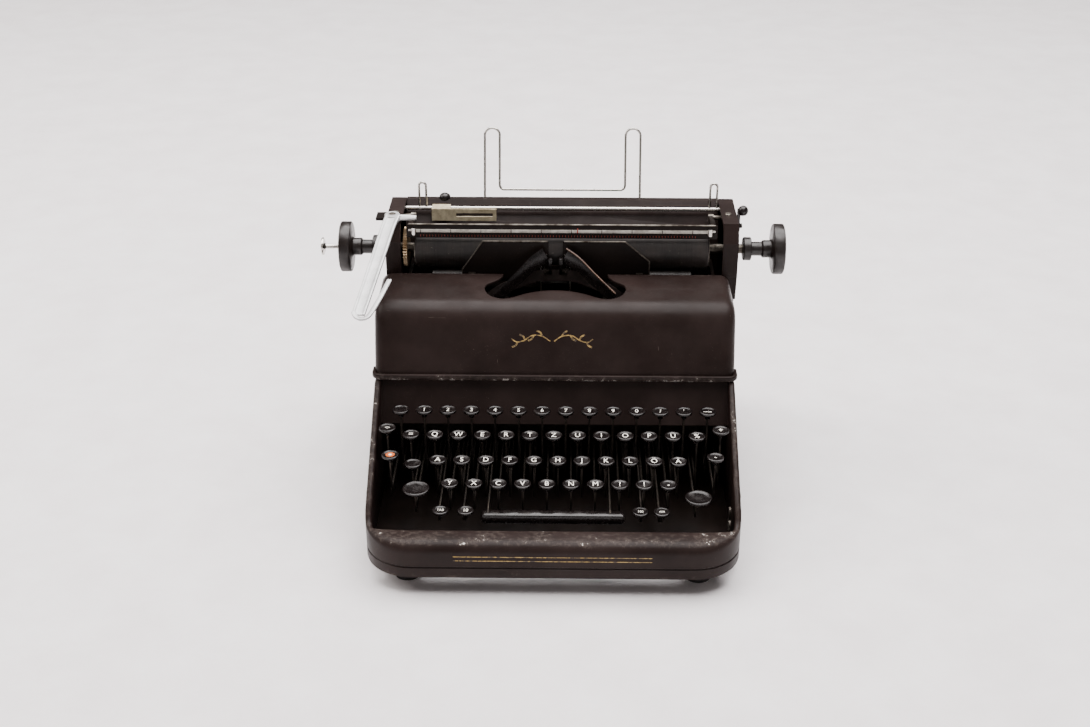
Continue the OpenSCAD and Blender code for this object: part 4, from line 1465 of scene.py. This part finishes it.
# ---------------------------------------------------------------- carriage
@dataclass
class Carriage:
    """Sliding carriage: end casings, rear casing, platen with knobs, bail, levers and wires."""

    body: str = "carriage"

    def __post_init__(self) -> None:
        """Reads the platen's axis and the carriage's middle."""
        low, high = (Vector(c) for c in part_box("platen"))
        knob_low, knob_high = (Vector(c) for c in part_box("platen_knobs"))
        self.axis = (low + high) / 2
        self.radius = (high.z - low.z) / 2
        self.span = high.x - self.axis.x
        self.knob_r = (knob_high.z - knob_low.z) / 2
        self.half = 125 * MM

    def platen(self) -> None:
        """Rubber roller with steel end rings on its shaft."""
        a, r, h = tuple(self.axis), self.radius, self.half
        rubber = lathe("rubber", [(4 * MM, -h + 0.6 * MM), (r - 1.2 * MM, -h + 0.6 * MM),
                                  (r, -h + 1.6 * MM), (r, h - 1.6 * MM),
                                  (r - 1.2 * MM, h - 0.6 * MM), (4 * MM, h - 0.6 * MM),
                                  (4 * MM, -h + 0.6 * MM)], a, "X", 64)
        shaft = lathe("shaft", [(2.05 * MM, -self.span), (3.6 * MM, -self.span),
                                (4 * MM, -self.span + 0.4 * MM), (4 * MM, self.span - 0.4 * MM),
                                (3.6 * MM, self.span), (0.2 * MM, self.span),
                                (0.2 * MM, -self.span + 45 * MM), (2.05 * MM, -self.span + 45 * MM),
                                (2.05 * MM, -self.span)], a, "X", 28)
        parts = [dress(rubber, Finish.RUBBER.material), dress(shaft, Finish.STEEL.material)]
        for s in (-1, 1):
            ring = lathe("ring", [(4 * MM, s * h), (r - 2.4 * MM, s * h),
                                  (r - 2 * MM, s * (h - 0.7 * MM)), (4 * MM, s * (h - 0.7 * MM)),
                                  (4 * MM, s * h)], a, "X", 48)
            parts.append(dress(ring, Finish.STEEL.material))
        settle(joined("platen_roller", parts), "platen", "rubber", "platen")

    def knobs(self) -> None:
        """Turned knobs with a milled rim, a dished face and a stepped hub."""
        r, m = self.knob_r, MM
        parts = []
        for s in (-1, 1):
            centre = (self.axis.x + s * self.span, self.axis.y, self.axis.z)
            steps = [(4.05, 0.6), (12, 0.8), (13.2, 1.6), (r / m - 7.5, 1.8), (r / m - 6.5, 0.5),
                     (r / m - 1.6, 0), (r / m - 0.3, 0.5), (r / m, 1.3), (r / m, 8.2),
                     (r / m - 0.4, 9.1), (r / m - 1.4, 9.5), (9.5, 9.6), (8.2, 10.4), (7.5, 11.4),
                     (7.5, 17.4), (6.9, 18.2), (6.0, 18.8), (6.0, 27.0), (9.2, 27.5), (10, 28.1),
                     (10, 33.6), (9.3, 34.4), (4.05, 34.5), (4.05, 0.6)]
            knob = lathe("knob", [(a * m, -s * b * m) for a, b in steps], centre, "X", 96)
            for vertex in knob.data.vertices:
                out = Vector((0, vertex.co.y - centre[1], vertex.co.z - centre[2]))
                angle = math.atan2(out.z, out.y)
                tooth = round(angle / (2 * math.pi) * 96) % 2
                if out.length > r - 0.6 * m and tooth:
                    vertex.co -= out.normalized() * 0.45 * m
            parts.append(dress(knob, Finish.KNOB_RESIN.material))
        settle(joined("platen_knob_pair", parts), "platen", "key_black", "platen_knobs")

    def release_pin(self) -> None:
        """Bright push button on its thin shaft."""
        low, high = (Vector(c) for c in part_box("platen_release_pin"))
        r = (high.z - low.z) / 2 / MM
        rows = [(0.1, 0.1), (r - 2, 0), (r - 0.4, 0.5), (r, 1.2), (r - 0.3, 2.2), (r - 1.4, 2.5),
                (3.4, 2.7), (2.4, 3.4), (1.9, 4.2), (1.9, 48.0), (0.1, 48.4)]
        pin = lathe("platen_release_button", [(a * MM, b * MM) for a, b in rows],
                    (low.x, self.axis.y, self.axis.z), "X", 40)
        settle(dress(pin, Finish.NICKEL.material), "platen_release_pin", "chrome",
               "platen_release_pin")

    def bail(self) -> None:
        """Dark rail with a pale scale and a red-marked lower band, on two arms."""
        low, high = (Vector(c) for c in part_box("paper_bail"))
        x0, x1 = self.axis.x - self.half - 5.8 * MM, self.axis.x + self.half + 5.8 * MM
        y, z0, z1 = low.y, low.z, high.z
        rail = soft_box("rail", (x0, y + 0.3 * MM, z0), (x1, y + 3.5 * MM, z1), 0.8 * MM)
        pale = soft_box("pale", (x0 + 8 * MM, y, z0 + 5.2 * MM), (x1 - 8 * MM, y + 1 * MM,
                                                                  z0 + 8.0 * MM), 0.2 * MM)
        wire = swept("wire", [(x0 + 2 * MM, y + 1.4 * MM, z1 - 0.2 * MM),
                              (x1 - 2 * MM, y + 1.4 * MM, z1 - 0.2 * MM)],
                     circle_section(0.8 * MM, 10), Vector((0, 0, 1)))
        parts = [dress(rail, Finish.DARK_AND_SHADE_ENAMEL.material),
                 dress(pale, Finish.SCALE_WHITE.material), dress(wire, Finish.STEEL.material)]
        tick = soft_box("tick", (-0.14 * MM, -0.05 * MM, 0), (0.14 * MM, 0.05 * MM, 1.6 * MM),
                        0.02 * MM)
        tall = soft_box("tall", (-0.3 * MM, -0.05 * MM, 0), (0.3 * MM, 0.05 * MM, 2.6 * MM),
                        0.02 * MM)
        step = 2.54 * MM
        count = int((x1 - x0 - 26 * MM) / step)
        line = [x0 + 12 * MM + k * step for k in range(count)]
        parts.append(scatter("fine", [(x, y + 0.2 * MM, z0 + 1.4 * MM) for x in line], tick,
                             Finish.RED))
        tens = line[::10]
        parts.append(scatter("tens", [(x, y - 0.02 * MM, z0 + 5.3 * MM) for x in tens], tall,
                             Finish.RESIN))
        parts.append(scatter("middle", [(line[count // 2 + 6], y - 0.04 * MM, z0 + 5.3 * MM)], tall,
                             Finish.RED, 1.6))
        drop(tick, tall)
        for s in (-1, 1):
            x = self.axis.x + s * (self.half + 3.5 * MM)
            arm = [(x, y + 2 * MM, z0 + 3 * MM), (x, y + 12 * MM, z0 + 4.4 * MM),
                   (x, y + 28 * MM, z0 + 4.2 * MM), (x, y + 43 * MM, z0 + 3 * MM)]
            flat = [(-2.1 * MM, -2.4 * MM), (2.1 * MM, -2.4 * MM), (2.1 * MM, 2.4 * MM),
                    (-2.1 * MM, 2.4 * MM)]
            parts.append(dress(bevelled(swept("arm", smooth_path(arm, 5), flat,
                                              Vector((1, 0, 0))), 0.6 * MM),
                               Finish.DARK_AND_SHADE_ENAMEL.material))
            eye = lathe("eye", [(0.1 * MM, -2.2 * MM), (3.2 * MM, -2.2 * MM), (3.2 * MM, 2.2 * MM),
                                (0.1 * MM, 2.2 * MM)], (x, y + 43 * MM, z0 + 3 * MM), "X", 24)
            pin = lathe("pin", [(0.1 * MM, 0), (2 * MM, 0), (2 * MM, s * 17 * MM),
                                (0.1 * MM, s * 17 * MM)], (x, y + 43 * MM, z0 + 3 * MM), "X", 20)
            collar = lathe("collar", [(0.1 * MM, -3 * MM), (2.1 * MM, -3 * MM), (2.1 * MM, 3 * MM),
                                      (0.1 * MM, 3 * MM)],
                           (x - s * 4 * MM, y + 0.8 * MM, z0 + 6 * MM), "Z", 20)
            cuff = lathe("cuff", [(0.1 * MM, -3.5 * MM), (2.7 * MM, -3.5 * MM), (3 * MM, -3.1 * MM),
                                  (3 * MM, 3.1 * MM), (2.7 * MM, 3.5 * MM), (0.1 * MM, 3.5 * MM)],
                         (x - s * 3 * MM, y + 3 * MM, z0 + 7 * MM), "X", 24)
            tip = lathe("tip", [(0.1 * MM, 0), (2.2 * MM, 0), (2.6 * MM, 1.6 * MM),
                                (2 * MM, 4.2 * MM), (0.1 * MM, 5 * MM)],
                        (x, y + 3.2 * MM, z1 - 5 * MM), "Z", 20)
            parts += [dress(eye, Finish.STEEL.material), dress(pin, Finish.STEEL.material),
                      dress(collar, Finish.NICKEL.material), dress(cuff, Finish.NICKEL.material),
                      dress(tip, Finish.RESIN.material)]
        settle(joined("paper_bail_piece", parts), "paper_bail", "frame_enamel", "paper_bail")

    def return_lever(self) -> None:
        """Pale pressed lever: a broad arm that falls forward, and a finger loop at its end."""
        high = Vector(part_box("return_lever")[1])
        x, y, z = high.x - 6.5 * MM, high.y - 6.5 * MM, high.z - 3 * MM
        hub = lathe("hub", [(3.06 * MM, -3 * MM), (6 * MM, -3 * MM), (6.5 * MM, -2.4 * MM),
                            (6.5 * MM, 2.3 * MM), (5.8 * MM, 3 * MM), (3.06 * MM, 3 * MM),
                            (3.06 * MM, -3 * MM)], (x, y, z), steps=36)
        slope = math.tan(math.radians(17))

        def at(u: float, v: float, lift: float = 0.0) -> Point:
            """A point on the sloping arm: u mm to the right, v mm towards the rear."""
            return (x + u * MM, y + v * MM, z + (1.6 + (v + 5) * slope + lift) * MM)

        spine = smooth_path([(1, -2, 0), (-2, -18, 0), (-6, -50, 0), (-11, -88, 0),
                             (-15.5, -122, 0)], 7)
        wide = [6.2 - 0.9 * k / (len(spine) - 1) for k in range(len(spine))]
        arm = self.strip("arm", [at(u, v) for u, v, _ in spine], [w * MM for w in wide], 1.2 * MM)
        foot = smooth_path([(-19.5, -119, 0), (-17, -124.5, 0), (-12.5, -127, 0), (-7.5, -124, 0),
                            (-3.0, -112, 0), (1.5, -97, 0), (5.5, -82, 0)], 6)
        loop = swept("loop", [at(u, v, 0.4) for u, v, _ in foot],
                     [(-0.9 * MM, -1.9 * MM), (0.9 * MM, -1.9 * MM), (0.9 * MM, 1.9 * MM),
                      (-0.9 * MM, 1.9 * MM)], Vector((0, 0, 1)))
        loop = bevelled(loop, 0.5 * MM)
        screw = lathe("screw", [(0.1 * MM, 3.6 * MM), (2.0 * MM, 3.6 * MM), (2.7 * MM, 3.1 * MM),
                                (2.7 * MM, -3 * MM), (0.1 * MM, -3 * MM)], (x, y, z), steps=28)
        tail = self.strip("tail", [(x - 4 * MM, y, z), (x + 6 * MM, y, z - 0.4 * MM),
                                   (x + 20 * MM, y + 1 * MM, z - 0.9 * MM)],
                          [5.4 * MM, 4.6 * MM, 3.2 * MM], 1.0 * MM)
        parts = [dress(o, Finish.SILVER_PAINT.material) for o in (hub, arm, loop, tail)]
        parts.append(dress(screw, Finish.STEEL.material))
        settle(joined("return_lever_piece", parts), "return_lever", "lever_paint", "return_lever")

    def strip(self, name: str, spine: list[Point], widths: list[float],
              thick: float) -> bpy.types.Object:
        """A level strip of changing half width with a raised rim, along a spine.

        Args:
            name: the piece's name.
            spine: middle points.
            widths: half width at each.
            thick: half thickness.

        Returns:
            The strip.
        """
        verts, faces = [], []
        for i, p in enumerate(spine):
            a, b = Vector(spine[max(i - 1, 0)]), Vector(spine[min(i + 1, len(spine) - 1)])
            along = (b - a).normalized()
            across = Vector((along.y, -along.x, 0)).normalized()
            up = across.cross(along)
            up = up if up.z > 0 else -up
            w = widths[i]
            ring = [(-w, -thick), (w, -thick), (w, thick), (w * 0.7, thick), (w * 0.55, thick * 0.4),
                    (-w * 0.55, thick * 0.4), (-w * 0.7, thick), (-w, thick)]
            verts += [tuple(Vector(p) + across * u + up * v) for u, v in ring]
        ring_n = 8
        for i in range(len(spine) - 1):
            for k in range(ring_n):
                n = (k + 1) % ring_n
                faces.append((i * ring_n + k, i * ring_n + n, (i + 1) * ring_n + n,
                              (i + 1) * ring_n + k))
        faces.append(tuple(range(ring_n)))
        faces.append(tuple((len(spine) - 1) * ring_n + k for k in range(ring_n)))
        return bevelled(mesh_object(name, verts, faces), 0.35 * MM)

    def trim(self) -> None:
        """Small fittings: casing screws and a dome at the rear."""
        low, high = (Vector(c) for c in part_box("carriage_ends"))
        parts = []
        for s in (-1, 1):
            x = self.axis.x + s * (self.half + 17 * MM)
            head = lathe("head", [(0.1 * MM, -0.4 * MM), (3 * MM, -0.4 * MM), (3 * MM, 0.5 * MM),
                                  (2.4 * MM, 1.1 * MM), (0.1 * MM, 1.2 * MM)],
                         (x, low.y + 30 * MM, high.z - 6.1 * MM), steps=24)
            parts.append(dress(head, Finish.STEEL.material))
        table_high = Vector(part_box("paper_table")[1])
        dome = lathe("dome", [(0.1 * MM, -1 * MM), (5 * MM, -1 * MM), (5 * MM, 0.6 * MM),
                              (4.2 * MM, 2.4 * MM), (2.4 * MM, 3.6 * MM), (0.1 * MM, 4 * MM)],
                     (self.axis.x - 103 * MM, table_high.y - 10.5 * MM, table_high.z), steps=28)
        parts.append(dress(dome, Finish.RESIN.material))
        settle(joined("casing_trim", parts), self.body, "steel")

    def make(self) -> None:
        """Builds the carriage and dresses its CAD nodes."""
        self.platen()
        self.knobs()
        self.release_pin()
        self.bail()
        self.return_lever()
        self.trim()
        for node, finish, radius in (
                ("carriage_bed", Finish.DARK_AND_SHADE_ENAMEL, 0.0), ("carriage_ends", Finish.ENAMEL, 1.6),
                ("paper_table", Finish.ENAMEL, 0.7), ("line_ratchet", Finish.BRONZE, 0.0),
                ("feed_roller_front", Finish.RUBBER, 0.0), ("feed_roller_rear", Finish.RUBBER, 0.0),
                ("paper_rod", Finish.NICKEL, 0.0), ("paper_support", Finish.NICKEL, 0.0),
                ("paper_side_guide", Finish.CELLULOID, 0.25),
                ("carriage_release_lever", Finish.DARK_AND_SHADE_ENAMEL, 0.5),
                ("paper_release_lever", Finish.RESIN, 0.3)):
            dress_node(node, finish, radius * MM)


# ---------------------------------------------------------------- studio
@dataclass
class Studio:
    """Pale floor, soft daylight from above and behind, and the camera."""

    pitch: float = 27.0                 # degrees below the horizon
    yaw: float = 0.9                    # degrees towards the machine's left
    lens: float = 50.0                  # millimetres, on a 36 mm sensor
    stand_off: float = 960 * MM         # in front of the frame's front face
    height: float = 690 * MM            # above the table
    aside: float = 9.5 * MM             # right of the frame's middle
    floor_half: float = 7.0             # half the floor's width, in metres
    sky_glow: float = 0.24              # strength of the world's even light

    def camera(self) -> None:
        """High front view, nearly straight on, with a normal lens."""
        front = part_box("base_frame")[0][1]
        data = bpy.data.cameras.new("camera")
        data.lens = self.lens
        data.sensor_width = 36.0
        data.dof.use_dof = False
        camera = bpy.data.objects.new("camera", data)
        bpy.context.scene.collection.objects.link(camera)
        camera.location = (self.aside, front - self.stand_off, self.height)
        camera.rotation_euler = (math.radians(90 - self.pitch), 0, math.radians(self.yaw))
        bpy.context.scene.camera = camera

    def floor(self) -> None:
        """Pale painted floor with faint unevenness."""
        size = self.floor_half
        floor = mesh_object("floor", [(-size, -size, 0), (size, -size, 0), (size, size, 0),
                                      (-size, size, 0)], [(0, 1, 2, 3)], smooth=False)
        s = Shader("painted_floor", rough=0.7)
        tone = s.blend(s.ramp(s.noise(60, 6, 0.6), 0.35, 0.65), linear("#f7f4f5"),
                       linear("#efebec"))
        s.paint(tone, height=s.noise(9, 5, 0.65), depth_mm=0.5)
        dress(floor, s.material)

    def light(self, name: str, place: Point, size: float, power: float, colour: str) -> None:
        """One soft square lamp that points at the object.

        Args:
            name: the lamp's name.
            place: where it stands.
            size: its width in metres.
            power: its power in watts.
            colour: its colour.
        """
        data = bpy.data.lights.new(name, "AREA")
        data.size = size
        data.energy = power
        data.color = linear(colour)[:3]
        lamp = bpy.data.objects.new(name, data)
        bpy.context.scene.collection.objects.link(lamp)
        lamp.location = place
        aim = Vector((0, 0, 100 * MM)) - Vector(place)
        lamp.rotation_euler = aim.to_track_quat("-Z", "Y").to_euler()

    def make(self) -> None:
        """Sets up the studio."""
        self.camera()
        self.floor()
        self.light("sky", (0.2, 0.45, 2.6), 2.8, 235, "#fffbfa")
        self.light("left", (-2.0, 0.3, 1.8), 1.6, 50, "#fff8f4")
        self.light("front", (0.6, -2.2, 1.5), 1.6, 3, "#fff4ee")
        world = bpy.data.worlds.new("studio")
        world.use_nodes = True
        background = world.node_tree.nodes["Background"]
        background.inputs["Color"].default_value = linear("#efe9e9")
        background.inputs["Strength"].default_value = self.sky_glow
        bpy.context.scene.world = world


def main() -> None:
    """Builds the studio and the typewriter, piece by piece."""
    logging.basicConfig(level=logging.INFO, format="%(name)s: %(message)s")
    Studio().make()
    CastFrame().make()
    Hood().make()
    Keyboard().make()
    TypeBasket().make()
    Carriage().make()


if __name__ == "__main__":
    main()
